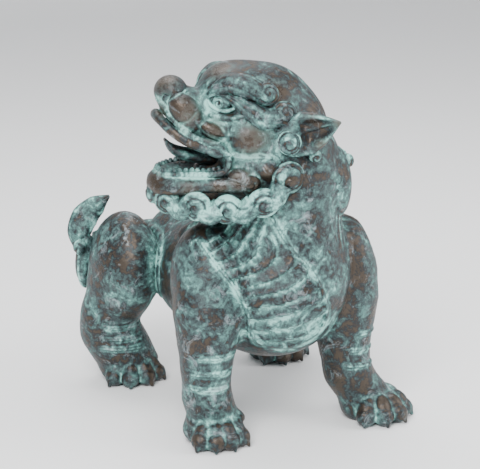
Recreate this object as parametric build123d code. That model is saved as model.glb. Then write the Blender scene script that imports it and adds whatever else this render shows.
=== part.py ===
"""Standing guardian lion (foo dog), cast in hollow bronze sections and joined.

The lion stands on four flat paws and faces -Y, with +X on its own left, and it turns its head
well round to its own right. The trunk, the four legs and the head are hollow castings. Each leg
and the head has a tubular spigot that enters the trunk. Jaw, tongue, teeth, nose, eyes, brows,
ears, beard, nape lock and tail are cast apart and seated on them.

Places on the head are given as forward, left and rise: along the muzzle, towards the lion's own
left cheek, and up from the joint between neck and head.
"""
from build123d import *
from math import cos, pi, sin
import os

# ---------------------------------------------------------------- driving dimensions, millimetres
WALL = 5.0                      # wall of every hollow casting
FIT_GAP = 0.1                   # radial gap round every spigot and peg

# trunk
TRUNK_LENGTH = 240.0            # breast to rump
TRUNK_WIDTH = 126.0
TRUNK_DEPTH = 114.0             # back to belly
TRUNK_HEIGHT = 108.0            # of the trunk's centre above the ground
TRUNK_BACK_SHIFT = 30.0         # of the trunk's centre, behind the lion's origin
BREAST_RADIUS = 57.0
BREAST_AHEAD = 74.0             # of the trunk's centre
BREAST_RISE = 17.0              # above the trunk's centre
PLUG_RADIUS = 14.0              # core plug in the belly
PLUG_HEAD = 3.0                 # how far the plug's flange overlaps the belly
PLUG_THICKNESS = 3.0

# neck and the joint that carries the head
NECK_JOINT_RISE = 88.0          # above the trunk's centre
NECK_BASE_RADIUS = 57.0
NECK_TOP_RADIUS = 42.0
NECK_OFFSET_X = 4.0
NECK_OFFSET_Y = -86.0           # ahead of the trunk's centre
NECK_SPIGOT_RADIUS = 30.0
SPIGOT_LENGTH = 16.0

# legs
LEG_SPIGOT_RADIUS = 13.0
SHOULDER_SIZE = (26.0, 33.0, 42.0)      # half width, half length, half height
HAUNCH_SIZE = (30.0, 42.0, 49.0)
SHANK_RADIUS = 20.0                     # front leg above the paw
HOCK_RADIUS = 26.0                      # hind leg above the paw
FRONT_AHEAD = 72.0                      # shoulders, ahead of the trunk's centre
HIND_BEHIND = 73.0                      # haunches, behind the trunk's centre
KNEE_HEIGHT = 66.0
ANKLE_HEIGHT = 36.0
PAW_SIZE = (28.0, 21.0, 17.0)
TOE_SIZE = (9.0, 11.0, 10.0)
TOE_COUNT = 4
TOE_STEP = 24.0                         # degrees between neighbouring toes
CLAW_LENGTH = 5.0
CLAW_RADIUS = 3.2

# head
HEAD_TURN = 103.0                       # degrees, towards the lion's own right
SKULL_SIZE = (42.0, 50.0, 48.0)         # half width, half length, half height
SKULL_AT = (28.0, 0.0, 66.0)            # forward, left, rise
JOWL_SIZE = (40.0, 40.0, 33.0)
JOWL_AT = (26.0, 0.0, 32.0)
CHEEK_SIZE = (16.0, 21.0, 18.0)
CHEEK_AT = (42.0, 29.0, 55.0)
MUZZLE_SIZE = (27.0, 39.0, 20.0)
MUZZLE_AT = (80.0, 0.0, 67.0)
MUZZLE_LIFT = 40.0                      # degrees that the open upper jaw is raised
NOSE_SIZE = (20.0, 13.0, 14.0)
NOSE_AT = (106.0, 0.0, 93.0)
NOSTRIL_RADIUS = 3.5
EYE_RADIUS = 9.5
EYE_AT = (61.0, 25.0, 85.0)
BROW_RADIUS = 7.5
BROW_CURL_RADIUS = 9.0
JAW_SIZE = (31.0, 46.0, 18.0)
JAW_AT = (78.0, 0.0, 27.0)
JAW_RIM_RISE = 33.0
JAW_LIP = 9.0                           # width of the lip round the mouth's floor
JAW_FLOOR = 8.0                         # depth of the mouth's floor below the rim
TOOTH_RADIUS = 2.4
TOOTH_LENGTH = 5.0
TEETH_PER_JAW = 11
TEETH_START = 0.18                      # share of the half turn from mouth corner to first tooth

# applied pieces
PEG_RADIUS = 3.5
PEG_LENGTH = 10.0
EAR_LENGTH = 44.0
EAR_RADIUS = 13.0
EAR_AT = (8.0, 34.0, 56.0)
CURL_RADIUS = 13.0
CURL_LENGTH = 15.5                      # half length along the jaw
CURL_THICKNESS = 9.0
CURL_EYE_RADIUS = 3.0                   # dimple in the middle of each curl
BEARD_PLACES = (                        # from the ear to the chin
    (10.0, 37.0, 22.0),
    (31.0, 39.0, 3.0),
    (60.0, 32.0, 1.0),
    (87.0, 25.0, 4.0),
)
CHIN_CURL_AT = (111.0, 0.0, 5.0)
NAPE_SIZE = (23.0, 11.0, 30.0)
NAPE_AT = (-35.0, -2.0, 15.0)
TAIL_RADIUS = 10.5
TAIL_LEAF_SIZE = (19.0, 9.0, 22.0)
TAIL_CURL_SIZE = (15.0, 10.0, 26.0)

# ---------------------------------------------------------------- places that follow from them
TRUNK_AT = (0.0, TRUNK_BACK_SHIFT, TRUNK_HEIGHT)
BREAST_AT = (0.0, TRUNK_BACK_SHIFT - BREAST_AHEAD, TRUNK_HEIGHT + BREAST_RISE)
NECK_JOINT_Z = TRUNK_HEIGHT + NECK_JOINT_RISE
NECK_X = NECK_OFFSET_X
NECK_Y = TRUNK_BACK_SHIFT + NECK_OFFSET_Y
HALF_WIDTH = TRUNK_WIDTH / 2
SHOULDER_Y = TRUNK_BACK_SHIFT - FRONT_AHEAD
HAUNCH_Y = TRUNK_BACK_SHIFT + HIND_BEHIND
HEAD_PLACE = Pos(NECK_X, NECK_Y, NECK_JOINT_Z) * Rot(0, 0, -HEAD_TURN)
FAR = 1000.0                            # larger than the lion, for cutting tools


# ---------------------------------------------------------------- forms
def egg(centre, half_sizes, turn=(0, 0, 0), grow=0.0):
    """Ellipsoid with half sizes along X, Y and Z, grown evenly and turned about its centre.

    It is made of an upper and a lower half, so that each of its faces has an edge of its own.
    """
    sizes = [size + grow for size in half_sizes]
    longest = max(sizes)
    ratios = tuple(size / longest for size in sizes)
    upper = scale(split(Sphere(longest), bisect_by=Plane.XY, keep=Keep.TOP), by=ratios)
    lower = scale(split(Sphere(longest), bisect_by=Plane.XY, keep=Keep.BOTTOM), by=ratios)
    return Pos(*centre) * Rot(*turn) * (upper + lower)


def limb(rings, grow=0.0):
    """Loft through level ellipses, each given as x, y, z, half width and half length."""
    return loft([Pos(x, y, z) * Ellipse(wide + grow, long + grow) for x, y, z, wide, long in rings])


def tube(points, radii):
    """Loft through circles square to a path of points."""
    path = [Vector(*point) for point in points]
    rings = []
    for index, radius in enumerate(radii):
        before = path[max(index - 1, 0)]
        after = path[min(index + 1, len(path) - 1)]
        rings.append(Plane(origin=path[index], z_dir=after - before) * Circle(radius))
    return loft(rings)


def rod(start, direction, length, radius):
    """Cylinder that runs from a point along a direction."""
    place = Plane(origin=Vector(*start), z_dir=Vector(*direction))
    return place * Cylinder(radius, length, align=(Align.CENTER, Align.CENTER, Align.MIN))


def on_head(forward, left, rise):
    """Point of the head in the head's own frame, which faces -Y before it is turned."""
    return (left, -forward, rise)


def placed(shape):
    """Carry a shape from the head's own frame to its place on the lion."""
    return HEAD_PLACE * shape


def slab(low, high):
    """Block between two heights that is wider than the lion."""
    base = Pos(0, 0, low) * Box(FAR, FAR, high - low, align=(Align.CENTER, Align.CENTER, Align.MIN))
    return base


def largest(shape):
    """The one real solid of a cut shape, without loose slivers."""
    return max(shape.solids(), key=lambda solid: solid.volume)


def seated(shape, *hosts):
    """What stands clear of the solids that a piece is seated on."""
    rest = largest(shape)
    for host in hosts:
        rest = largest(rest.cut(host))
    return rest


ABOVE_GROUND = slab(0, FAR)


# ---------------------------------------------------------------- trunk
def neck_form(grow=0.0):
    """The neck, from inside the breast to inside the skull."""
    base_z = BREAST_AT[2] + BREAST_RADIUS / 6
    middle_z = (base_z + NECK_JOINT_Z) / 2
    middle_radius = (NECK_BASE_RADIUS + NECK_TOP_RADIUS) / 2
    top_z = NECK_JOINT_Z + SKULL_AT[2] / 2
    rings = (
        (0, BREAST_AT[1], base_z, NECK_BASE_RADIUS, NECK_BASE_RADIUS),
        (NECK_X / 2, (BREAST_AT[1] + NECK_Y) / 2, middle_z, middle_radius, middle_radius),
        (NECK_X, NECK_Y, NECK_JOINT_Z, NECK_TOP_RADIUS, NECK_TOP_RADIUS),
        (NECK_X, NECK_Y, top_z, NECK_TOP_RADIUS * 0.7, NECK_TOP_RADIUS * 0.7),
    )
    return limb(rings, grow)


def trunk_solids(grow=0.0):
    """Barrel, breast and the neck up to the head's joint, as overlapping solids."""
    barrel = egg(TRUNK_AT, (HALF_WIDTH, TRUNK_LENGTH / 2, TRUNK_DEPTH / 2), grow=grow)
    breast = egg(BREAST_AT, (BREAST_RADIUS,) * 3, grow=grow)
    neck = neck_form(grow) & slab(-FAR, NECK_JOINT_Z + min(grow, 0.0))
    return [barrel, breast, neck]


TRUNK = trunk_solids()
TRUNK_CLEAR = trunk_solids(WALL)        # what a leg's hollow keeps away from


# ---------------------------------------------------------------- legs
def paw_form(x, y, heading):
    """Paw with its toes and claws; heading turns it outwards, in degrees from straight ahead."""
    shape = egg((x, y, PAW_SIZE[2] / 2), PAW_SIZE, (0, 0, heading))
    for index in range(TOE_COUNT):
        toe_turn = heading + (index - (TOE_COUNT - 1) / 2) * TOE_STEP
        ahead = PAW_SIZE[1] - TOE_SIZE[1] / 3
        angle = (toe_turn - 90) * pi / 180
        toe_x = x + ahead * cos(angle) * PAW_SIZE[0] / PAW_SIZE[1]
        toe_y = y + ahead * sin(angle)
        shape += egg((toe_x, toe_y, TOE_SIZE[2] * 0.8), TOE_SIZE, (0, 0, toe_turn))
        tip = (toe_x + (TOE_SIZE[1] - 2) * cos(angle), toe_y + (TOE_SIZE[1] - 2) * sin(angle))
        claw_place = Plane(origin=Vector(*tip, TOE_SIZE[2] * 0.6), z_dir=(cos(angle), sin(angle), -0.3))
        shape += claw_place * Cone(CLAW_RADIUS, 1.0, CLAW_LENGTH, align=(Align.CENTER, Align.CENTER, Align.MIN))
    return shape


def leg(muscle_at, muscle_size, rings, paw):
    """Hollow leg with its muscle against the trunk, a tubular spigot and a flat sole.

    muscle_at and muscle_size are those of the shoulder or haunch, rings the leg's level ellipses
    and paw its x, y and heading.
    """
    outer = egg(muscle_at, muscle_size) + limb(rings) + paw_form(*paw)
    hollow = egg(muscle_at, muscle_size, grow=-WALL) + limb(rings[:-1], -WALL)
    return seated(outer & ABOVE_GROUND, *TRUNK, seated(hollow, *TRUNK_CLEAR))


def leg_spigot(muscle_at):
    """Start, direction and length of a leg's spigot, which points at the trunk's centre line."""
    inward = -1 if muscle_at[0] > 0 else 1
    inner_face = HALF_WIDTH - 2 * WALL - SPIGOT_LENGTH / 2
    length = abs(muscle_at[0]) - inner_face
    return muscle_at, (inward, 0, 0), length


def add_spigot(shell, muscle_at):
    """Leg with the spigot's tube joined to its inner wall."""
    start, direction, length = leg_spigot(muscle_at)
    solid_rod = rod(start, direction, length, LEG_SPIGOT_RADIUS)
    bore = rod(start, direction, length, LEG_SPIGOT_RADIUS - WALL)
    return largest(shell + solid_rod - bore)


def front_leg(side, foot_x, foot_y, heading):
    """Front leg; side is 1 for the lion's left and -1 for its right."""
    shoulder = (side * (HALF_WIDTH + 1), SHOULDER_Y, TRUNK_HEIGHT + 24)
    top_x = side * (HALF_WIDTH - 1)
    shank_x = (top_x + 3 * foot_x) / 4 if side < 0 else (3 * top_x + foot_x) / 4 - 6
    shank_y = (SHOULDER_Y + 2 * foot_y) / 3
    rings = (
        (top_x, SHOULDER_Y, shoulder[2] - 4, SHOULDER_SIZE[0] - 3, SHOULDER_SIZE[1] - 3),
        (shank_x, (SHOULDER_Y + shank_y) / 2 - 4, (TRUNK_HEIGHT + KNEE_HEIGHT) / 2, SHANK_RADIUS + 5, SHANK_RADIUS + 5),
        (shank_x, shank_y, KNEE_HEIGHT, SHANK_RADIUS + 1, SHANK_RADIUS + 1),
        ((3 * shank_x + foot_x) / 4, (shank_y + foot_y) / 2, ANKLE_HEIGHT, SHANK_RADIUS, SHANK_RADIUS),
        (foot_x, foot_y + 5, ANKLE_HEIGHT / 2, SHANK_RADIUS + 4, SHANK_RADIUS + 4),
        (foot_x, foot_y + 5, 0, SHANK_RADIUS + 6, SHANK_RADIUS + 5),
    )
    shell = leg(shoulder, SHOULDER_SIZE, rings, (foot_x, foot_y, heading))
    return add_spigot(shell, shoulder), shoulder


def hind_leg(side, foot_x, foot_y, heading):
    """Hind leg; side is 1 for the lion's left and -1 for its right."""
    haunch = (side * (HALF_WIDTH + 10), HAUNCH_Y, TRUNK_HEIGHT - 2)
    hock_x = foot_x + side * 16
    rings = (
        (haunch[0], HAUNCH_Y, haunch[2] - 4, HAUNCH_SIZE[0] - 3, HAUNCH_SIZE[1] - 3),
        (hock_x, HAUNCH_Y + 9, KNEE_HEIGHT - 8, HOCK_RADIUS - 1, HOCK_RADIUS + 3),
        (hock_x - side * 6, HAUNCH_Y + 6, ANKLE_HEIGHT, HOCK_RADIUS, HOCK_RADIUS + 2),
        (foot_x + side * 4, foot_y + 4, ANKLE_HEIGHT / 2, HOCK_RADIUS + 1, HOCK_RADIUS + 1),
        (foot_x, foot_y + 3, 0, HOCK_RADIUS, HOCK_RADIUS),
    )
    shell = leg(haunch, HAUNCH_SIZE, rings, (foot_x, foot_y, heading))
    return add_spigot(shell, haunch), haunch


front_leg_right, shoulder_right = front_leg(-1, -HALF_WIDTH + 1, SHOULDER_Y - 18, -8)
front_leg_left, shoulder_left = front_leg(1, HALF_WIDTH + 19, SHOULDER_Y - 20, 24)
hind_leg_right, haunch_right = hind_leg(-1, -HALF_WIDTH - 4, HAUNCH_Y + 6, -4)
hind_leg_left, haunch_left = hind_leg(1, HALF_WIDTH + 13, HAUNCH_Y + 3, 12)


# ---------------------------------------------------------------- trunk casting and core plug
def plug_rod(radius, low, high):
    """Upright cylinder on the plug's axis, in the middle of the belly."""
    return rod((TRUNK_AT[0], TRUNK_AT[1], low), (0, 0, 1), high - low, radius)


BELLY_Z = TRUNK_HEIGHT - TRUNK_DEPTH / 2

barrel, breast, neck = TRUNK
barrel_hollow, breast_hollow, neck_hollow = trunk_solids(-WALL)
torso_shell = (barrel + breast + neck) - (barrel_hollow + breast_hollow + neck_hollow)
for muscle in (shoulder_right, shoulder_left, haunch_right, haunch_left):
    torso_shell -= rod(*leg_spigot(muscle), LEG_SPIGOT_RADIUS + FIT_GAP)
torso_shell -= rod((NECK_X, NECK_Y, NECK_JOINT_Z - 3 * WALL), (0, 0, 1), 4 * WALL, NECK_SPIGOT_RADIUS + FIT_GAP)
torso_shell -= plug_rod(PLUG_RADIUS + FIT_GAP, BELLY_Z - WALL, BELLY_Z + 3 * WALL)
torso_shell -= plug_rod(PLUG_RADIUS + PLUG_HEAD + FIT_GAP, BELLY_Z - WALL, BELLY_Z + PLUG_THICKNESS)
torso_shell = largest(torso_shell)

belly_plug = plug_rod(PLUG_RADIUS, BELLY_Z, BELLY_Z + 2 * WALL)
belly_plug += plug_rod(PLUG_RADIUS + PLUG_HEAD, BELLY_Z, BELLY_Z + PLUG_THICKNESS)


# ---------------------------------------------------------------- head casting
def mirrored(place, side):
    """Place on the head's left, or on its right where side is -1."""
    forward, left, rise = place
    return on_head(forward, side * left, rise)


skull = placed(egg(on_head(*SKULL_AT), SKULL_SIZE))
jowl = placed(egg(on_head(*JOWL_AT), JOWL_SIZE))
muzzle = placed(egg(on_head(*MUZZLE_AT), MUZZLE_SIZE, (-MUZZLE_LIFT, 0, 0)))
cheeks = [placed(egg(mirrored(CHEEK_AT, side), CHEEK_SIZE)) for side in (1, -1)]
neck_top = neck_form() & slab(NECK_JOINT_Z, FAR)
HEAD = [skull, jowl, muzzle, *cheeks, neck_top]
SEATS = TRUNK + HEAD                    # what the applied pieces are seated on

head_hollow = placed(egg(on_head(*SKULL_AT), SKULL_SIZE, grow=-WALL))
head_hollow += placed(egg(on_head(*JOWL_AT), JOWL_SIZE, grow=-WALL))
head_hollow &= slab(NECK_JOINT_Z + WALL, FAR)
spigot_start = (NECK_X, NECK_Y, NECK_JOINT_Z - SPIGOT_LENGTH)
head_shell = seated(skull + jowl + muzzle + cheeks[0] + cheeks[1] + neck_top, *TRUNK)
head_shell = head_shell - head_hollow
head_shell += rod(spigot_start, (0, 0, 1), SPIGOT_LENGTH + WALL, NECK_SPIGOT_RADIUS)
head_shell -= rod(spigot_start, (0, 0, 1), SPIGOT_LENGTH + 3 * WALL, NECK_SPIGOT_RADIUS - WALL)


def eye(side):
    """Eyeball seated in its socket."""
    return placed(egg(mirrored(EYE_AT, side), (EYE_RADIUS,) * 3))


eye_left = eye(1)
eye_right = eye(-1)
head_shell -= eye_left + eye_right


# ---------------------------------------------------------------- lower jaw, tongue and teeth
def jaw_rim(radius_change, angle):
    """Point on the jaw's rim; angle runs from one mouth corner round the chin to the other."""
    level = (JAW_RIM_RISE - JAW_AT[2]) / JAW_SIZE[2]
    share = (1 - level * level) ** 0.5
    forward = JAW_AT[0] + (JAW_SIZE[1] * share + radius_change) * sin(angle)
    left = (JAW_SIZE[0] * share + radius_change) * cos(angle)
    return forward, left


jaw_outer = egg(on_head(*JAW_AT), JAW_SIZE) & slab(-FAR, JAW_RIM_RISE)
floor_size = (JAW_SIZE[0] - JAW_LIP, JAW_SIZE[1] - JAW_LIP, JAW_FLOOR)
jaw_floor = egg(on_head(JAW_AT[0], 0, JAW_RIM_RISE), floor_size)
lower_jaw = seated(placed(jaw_outer - jaw_floor), *SEATS)

tongue_path = (
    on_head(MUZZLE_AT[0] - MUZZLE_SIZE[1] * 0.6, 0, JAW_RIM_RISE - 2),
    on_head(JAW_AT[0] + 2, 0, JAW_RIM_RISE - 1),
    on_head(JAW_AT[0] + JAW_SIZE[1] * 0.45, 0, JAW_RIM_RISE + 5),
    on_head(JAW_AT[0] + JAW_SIZE[1] * 0.68, 0, JAW_RIM_RISE + 15),
)
tongue_rings = []
for index, (half_width, half_depth) in enumerate(((12, 5), (13, 5), (11, 4), (6, 2.5))):
    ahead = Vector(*tongue_path[min(index + 1, 3)]) - Vector(*tongue_path[max(index - 1, 0)])
    ring_place = Plane(origin=Vector(*tongue_path[index]), x_dir=(1, 0, 0), z_dir=ahead)
    tongue_rings.append(ring_place * Ellipse(half_width, half_depth))

lower_teeth = []
upper_teeth = []
for index in range(TEETH_PER_JAW):
    angle = pi * (TEETH_START + (1 - 2 * TEETH_START) * index / (TEETH_PER_JAW - 1))
    forward, left = jaw_rim(-JAW_LIP / 2, angle)
    foot = on_head(forward, left, JAW_RIM_RISE)
    tooth = rod(foot, (0, 0, 1), TOOTH_LENGTH, TOOTH_RADIUS)
    lower_teeth.append(seated(placed(tooth), *HEAD, lower_jaw))
    palate = Pos(*on_head(*MUZZLE_AT)) * Rot(-MUZZLE_LIFT, 0, 0)
    along = (MUZZLE_SIZE[1] - JAW_LIP / 2) * 0.9
    across = (MUZZLE_SIZE[0] - JAW_LIP / 2) * 0.9
    root = (across * cos(angle), -along * sin(angle), -MUZZLE_SIZE[2] * 0.2)
    depth = MUZZLE_SIZE[2] * 0.35 + TOOTH_LENGTH
    upper_teeth.append(seated(placed(palate * rod(root, (0, 0, -1), depth, TOOTH_RADIUS)), *HEAD))

tongue = seated(placed(loft(tongue_rings)), *SEATS, lower_jaw, *lower_teeth)


# ---------------------------------------------------------------- nose, brows and ears
nose = egg(on_head(*NOSE_AT), NOSE_SIZE, (-MUZZLE_LIFT, 0, 0))
for side in (1, -1):
    nostril_at = on_head(NOSE_AT[0], side * NOSE_SIZE[0] * 0.9, NOSE_AT[2])
    nose -= egg(nostril_at, (NOSTRIL_RADIUS,) * 3)
nose = seated(placed(nose), *HEAD)


def brow(side):
    """Flame-shaped brow over an eye, with two curls at its tail."""
    over_eye = (EYE_AT[0] - 9, EYE_AT[1] + 1, EYE_AT[2] + EYE_RADIUS + 3)
    front = mirrored((over_eye[0] + 18, over_eye[1] - 13, over_eye[2] + 4), side)
    tail = mirrored((over_eye[0] - 27, over_eye[1] + 9, over_eye[2] - 9), side)
    shape = tube((front, mirrored(over_eye, side), tail), (BROW_RADIUS - 1, BROW_RADIUS + 1, BROW_RADIUS))
    curl_size = (BROW_RADIUS, BROW_CURL_RADIUS, BROW_CURL_RADIUS)
    for back, out, down in ((34, 9, 13), (21, 7, 0)):
        curl_at = (over_eye[0] - back, over_eye[1] + out, over_eye[2] - down)
        shape += egg(mirrored(curl_at, side), curl_size, (0, 0, side * 12))
    return seated(placed(shape), *HEAD, eye_left, eye_right)


brow_left = brow(1)
brow_right = brow(-1)


def ear_direction(side):
    """Unit direction from an ear's root to its tip: back, outwards and a little up."""
    return Vector(side * 0.50, 0.86, 0.06)


def ear(side):
    """Pointed ear, cupped behind, with a peg in the skull."""
    root = Vector(*mirrored(EAR_AT, side))
    along = ear_direction(side)
    points = [root + along * (EAR_LENGTH * share) for share in (0.0, 0.35, 0.75, 1.0)]
    shape = tube(points, (EAR_RADIUS * 0.8, EAR_RADIUS, EAR_RADIUS * 0.6, 1.5))
    cup_at = points[2] + Vector(side * EAR_RADIUS * 0.8, 0, -EAR_RADIUS * 0.1)
    cup = egg(tuple(cup_at), (EAR_RADIUS * 0.55, EAR_LENGTH * 0.3, EAR_RADIUS * 0.55), (0, 0, side * -30))
    return placed(shape - cup)


def ear_peg(side, gap=0.0):
    """Peg from the ear's root into the skull."""
    shoulder = Vector(*mirrored(EAR_AT, side)) + Vector(side * EAR_RADIUS * 0.6, 0, 0)
    return placed(rod(tuple(shoulder), (-side, 0, 0), PEG_LENGTH + EAR_RADIUS * 0.6, PEG_RADIUS + gap))


ears = {}
for side_name, side in (("left", 1), ("right", -1)):
    ears[side_name] = largest(seated(ear(side), *HEAD) + ear_peg(side))
    head_shell -= ear_peg(side, FIT_GAP)


# ---------------------------------------------------------------- beard and nape
def curl(place, side, lean):
    """Snail curl: a thick round disc, domed, with a dimple in the middle."""
    middle = mirrored(place, side)
    disc = egg(middle, (CURL_THICKNESS, CURL_LENGTH, CURL_RADIUS), (0, 0, side * lean))
    dimple_at = (middle[0] + side * CURL_THICKNESS, middle[1], middle[2])
    return placed(disc - egg(dimple_at, (CURL_EYE_RADIUS,) * 3))


chin_size = (CURL_RADIUS * 1.4, CURL_RADIUS, CURL_RADIUS)
chin_curl = seated(placed(egg(on_head(*CHIN_CURL_AT), chin_size)), *SEATS, lower_jaw)
beard_curls = {}
for side_name, side in (("left", 1), ("right", -1)):
    neighbours = [chin_curl]
    for index in reversed(range(len(BEARD_PLACES))):
        one = seated(curl(BEARD_PLACES[index], side, 5 * index), *SEATS, lower_jaw, *neighbours)
        neighbours = [chin_curl, one]
        beard_curls[f"beard_curl_{side_name}_{index + 1}"] = one

nape_lock = seated(placed(egg(on_head(*NAPE_AT), NAPE_SIZE)), *SEATS)
nape_peg_start = on_head(NAPE_AT[0], NAPE_AT[1], NAPE_AT[2])


def nape_peg(gap=0.0):
    """Peg from the middle of the nape lock forward into the neck."""
    return placed(rod(nape_peg_start, (0, -1, 0), NAPE_SIZE[1] + PEG_LENGTH, PEG_RADIUS + gap))


nape_lock = largest(nape_lock + nape_peg())
head_shell = largest(head_shell - nape_peg(FIT_GAP))

# ---------------------------------------------------------------- tail, swept round to the right
RUMP_Y = TRUNK_BACK_SHIFT + TRUNK_LENGTH / 2
TAIL_BEHIND = HAUNCH_Y + HAUNCH_SIZE[1]
TAIL_END = (haunch_right[0] - 13, TAIL_BEHIND - 3, TRUNK_HEIGHT + 18)
TAIL_SEATS = [*TRUNK, hind_leg_right, egg(haunch_right, HAUNCH_SIZE)]

tail_points = (
    (0, RUMP_Y - 8, TRUNK_HEIGHT + 12),
    (-HALF_WIDTH * 0.45, max(RUMP_Y, TAIL_BEHIND) - 1, TRUNK_HEIGHT + 14),
    (-HALF_WIDTH * 0.95, TAIL_BEHIND + TAIL_RADIUS * 0.7, TRUNK_HEIGHT + 17),
    TAIL_END,
)
tail_stem = tube(tail_points, (TAIL_RADIUS + 2, TAIL_RADIUS, TAIL_RADIUS - 2, TAIL_RADIUS - 4))
tail_stem = seated(tail_stem, *TAIL_SEATS)


def tail_peg(gap=0.0):
    """Peg from the root of the tail into the rump."""
    start = (0, RUMP_Y + TAIL_RADIUS / 3, TRUNK_HEIGHT + 12)
    return rod(start, (0, -1, 0), TAIL_RADIUS + PEG_LENGTH, PEG_RADIUS + gap)


tail_stem = largest(tail_stem + tail_peg())
torso_shell = largest(torso_shell - tail_peg(FIT_GAP))

leaf_at = (haunch_right[0] - 14, TAIL_BEHIND - 4, TRUNK_HEIGHT + 36)
tail_leaf = egg(leaf_at, TAIL_LEAF_SIZE, (0, 28, 20))
tail_leaf = seated(tail_leaf, *TAIL_SEATS, tail_stem)
curl_at = (haunch_right[0] - 22, TAIL_BEHIND - 6, TRUNK_HEIGHT - 3)
tail_curl = egg(curl_at, TAIL_CURL_SIZE, (0, 0, 25))
tail_curl = seated(tail_curl, *TAIL_SEATS, tail_stem, tail_leaf)

# ---------------------------------------------------------------- nodes, moved to the lion's origin
nodes = {
    "torso_shell": torso_shell,
    "belly_plug": belly_plug,
    "front_leg_left": front_leg_left,
    "front_leg_right": front_leg_right,
    "hind_leg_left": hind_leg_left,
    "hind_leg_right": hind_leg_right,
    "head_shell": head_shell,
    "lower_jaw": lower_jaw,
    "tongue": tongue,
    "upper_teeth": Compound(children=upper_teeth),
    "lower_teeth": Compound(children=lower_teeth),
    "nose": nose,
    "eye_left": eye_left,
    "eye_right": eye_right,
    "brow_left": brow_left,
    "brow_right": brow_right,
    "ear_left": ears["left"],
    "ear_right": ears["right"],
    **beard_curls,
    "chin_curl": chin_curl,
    "nape_lock": nape_lock,
    "tail_stem": tail_stem,
    "tail_leaf": tail_leaf,
    "tail_curl": tail_curl,
}

os.makedirs("parts", exist_ok=True)
boxes = [shape.bounding_box() for shape in nodes.values()]
middle_x = (min(box.min.X for box in boxes) + max(box.max.X for box in boxes)) / 2
middle_y = (min(box.min.Y for box in boxes) + max(box.max.Y for box in boxes)) / 2
for name, shape in nodes.items():
    export_step(Pos(-middle_x, -middle_y, 0) * shape, f"parts/{name}.step")
print("origin moved by", round(middle_x, 3), round(middle_y, 3))
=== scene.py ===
"""Bronze guardian lion with a verdigris patina, sculpted over its packed castings.

The large castings are worked in clay: a field of signed distances on a regular grid, built up
from simple forms, carved with relief and skinned. Ears, curls, eyes, tongue, teeth and tail are
surfaces of two parameters. Sculpting lengths are millimetres in the lion's own sculpting frame:
+X to its left, -Y ahead, +Z up. Places on the head are forward, left and up in the head's frame.
"""
from math import cos, pi, radians, sin

import bmesh
import bpy
import numpy as np
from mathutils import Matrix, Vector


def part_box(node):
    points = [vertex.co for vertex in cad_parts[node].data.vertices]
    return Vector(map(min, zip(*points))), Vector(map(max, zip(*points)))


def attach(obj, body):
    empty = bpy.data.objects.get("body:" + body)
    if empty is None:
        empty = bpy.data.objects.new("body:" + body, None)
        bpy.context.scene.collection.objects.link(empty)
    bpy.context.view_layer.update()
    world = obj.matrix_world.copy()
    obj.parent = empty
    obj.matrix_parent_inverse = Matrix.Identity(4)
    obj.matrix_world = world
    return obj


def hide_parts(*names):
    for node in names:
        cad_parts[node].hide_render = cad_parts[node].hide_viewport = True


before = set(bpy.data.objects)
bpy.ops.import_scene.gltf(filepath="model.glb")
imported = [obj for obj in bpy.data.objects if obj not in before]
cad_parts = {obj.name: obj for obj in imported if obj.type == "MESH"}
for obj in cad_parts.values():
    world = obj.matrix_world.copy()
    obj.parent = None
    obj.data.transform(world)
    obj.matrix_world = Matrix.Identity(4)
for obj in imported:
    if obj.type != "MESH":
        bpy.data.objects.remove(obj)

import openvdb
from bpy.props import FloatProperty, FloatVectorProperty, IntProperty, PointerProperty
from bpy.types import Operator, Panel, PropertyGroup
from mathutils import Vector

bl_info = {
    "name": "Guardian lion",
    "version": (1, 0, 0),
    "blender": (4, 5, 0),
    "location": "3D View > Sidebar > Guardian lion",
    "description": "Sculpts a standing bronze guardian lion over its packed castings",
    "category": "Add Mesh",
}

MM = 0.001
OUTSIDE = 12.0                  # field value away from the clay, in millimetres
BAND = 3.5                      # relief acts on the clay this near its surface
TRUNK_GRAIN = 1.34              # clay cell of each large casting, as a share of the chosen grain
LEG_GRAIN = 0.9
SKULL_GRAIN = 1.2
FINE_REACH, BROAD_REACH = 1.2, 3.6              # millimetres over which small and wide hollows are told
FINE_SHARE, BROAD_SHARE = 2.4, 0.7              # and how much each counts as recess
BODY = "root"
TRUNK_LOW = np.array((-63.0, -101.0, 51.0))     # low corner of the trunk casting in the sculpting frame
SHIFT = np.array(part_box("torso_shell")[0]) / MM - TRUNK_LOW
SHIFT[2] = 0.0

HEAD_TURN = radians(103)
HEAD_AT = np.array((5.0, -56.0, 0.0))
FORWARD = np.array((-sin(HEAD_TURN), -cos(HEAD_TURN), 0.0))
LEFT = np.array((cos(HEAD_TURN), -sin(HEAD_TURN), 0.0))
UP = np.array((0.0, 0.0, 1.0))
HEAD_AXES = np.array((FORWARD, LEFT, UP))
DRAW_LEFT = 25.0                # cheek plane on which the head's relief is drawn
DRAW_FORWARD = 0.256            # slant of that drawing, forward and up, per millimetre outwards
DRAW_UP = 0.285
MUZZLE_START = 52.0             # the muzzle ahead of this place is shortened by this share, eased in
MUZZLE_SHORTENING = 0.095
MUZZLE_EASE = 8.0

NECK_TOP = 218.0                # the trunk's clay ends here, inside the head's neck
LEG_OVERLAP = 1.5               # a leg's clay reaches this far past the edge of its casting
LEG_TUCK = 0.25                 # and is this much lower there, so that it ends under the trunk
CAST_GRAIN = 0.16               # height of the uneven cast skin
SIDES = ((1, "left"), (-1, "right"))


def on_head(points):
    """Places of the head's frame carried to the sculpting frame, with the muzzle drawn in a little.

    The shortening grows as the mean of a distance and its own hyperbola, so it has no corner.
    """
    points = np.array(points, float)
    ahead = points[:, 0] - MUZZLE_START
    points[:, 0] -= MUZZLE_SHORTENING * (np.sqrt(ahead ** 2 + MUZZLE_EASE ** 2) + ahead) / 2
    return points @ HEAD_AXES + HEAD_AT


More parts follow.
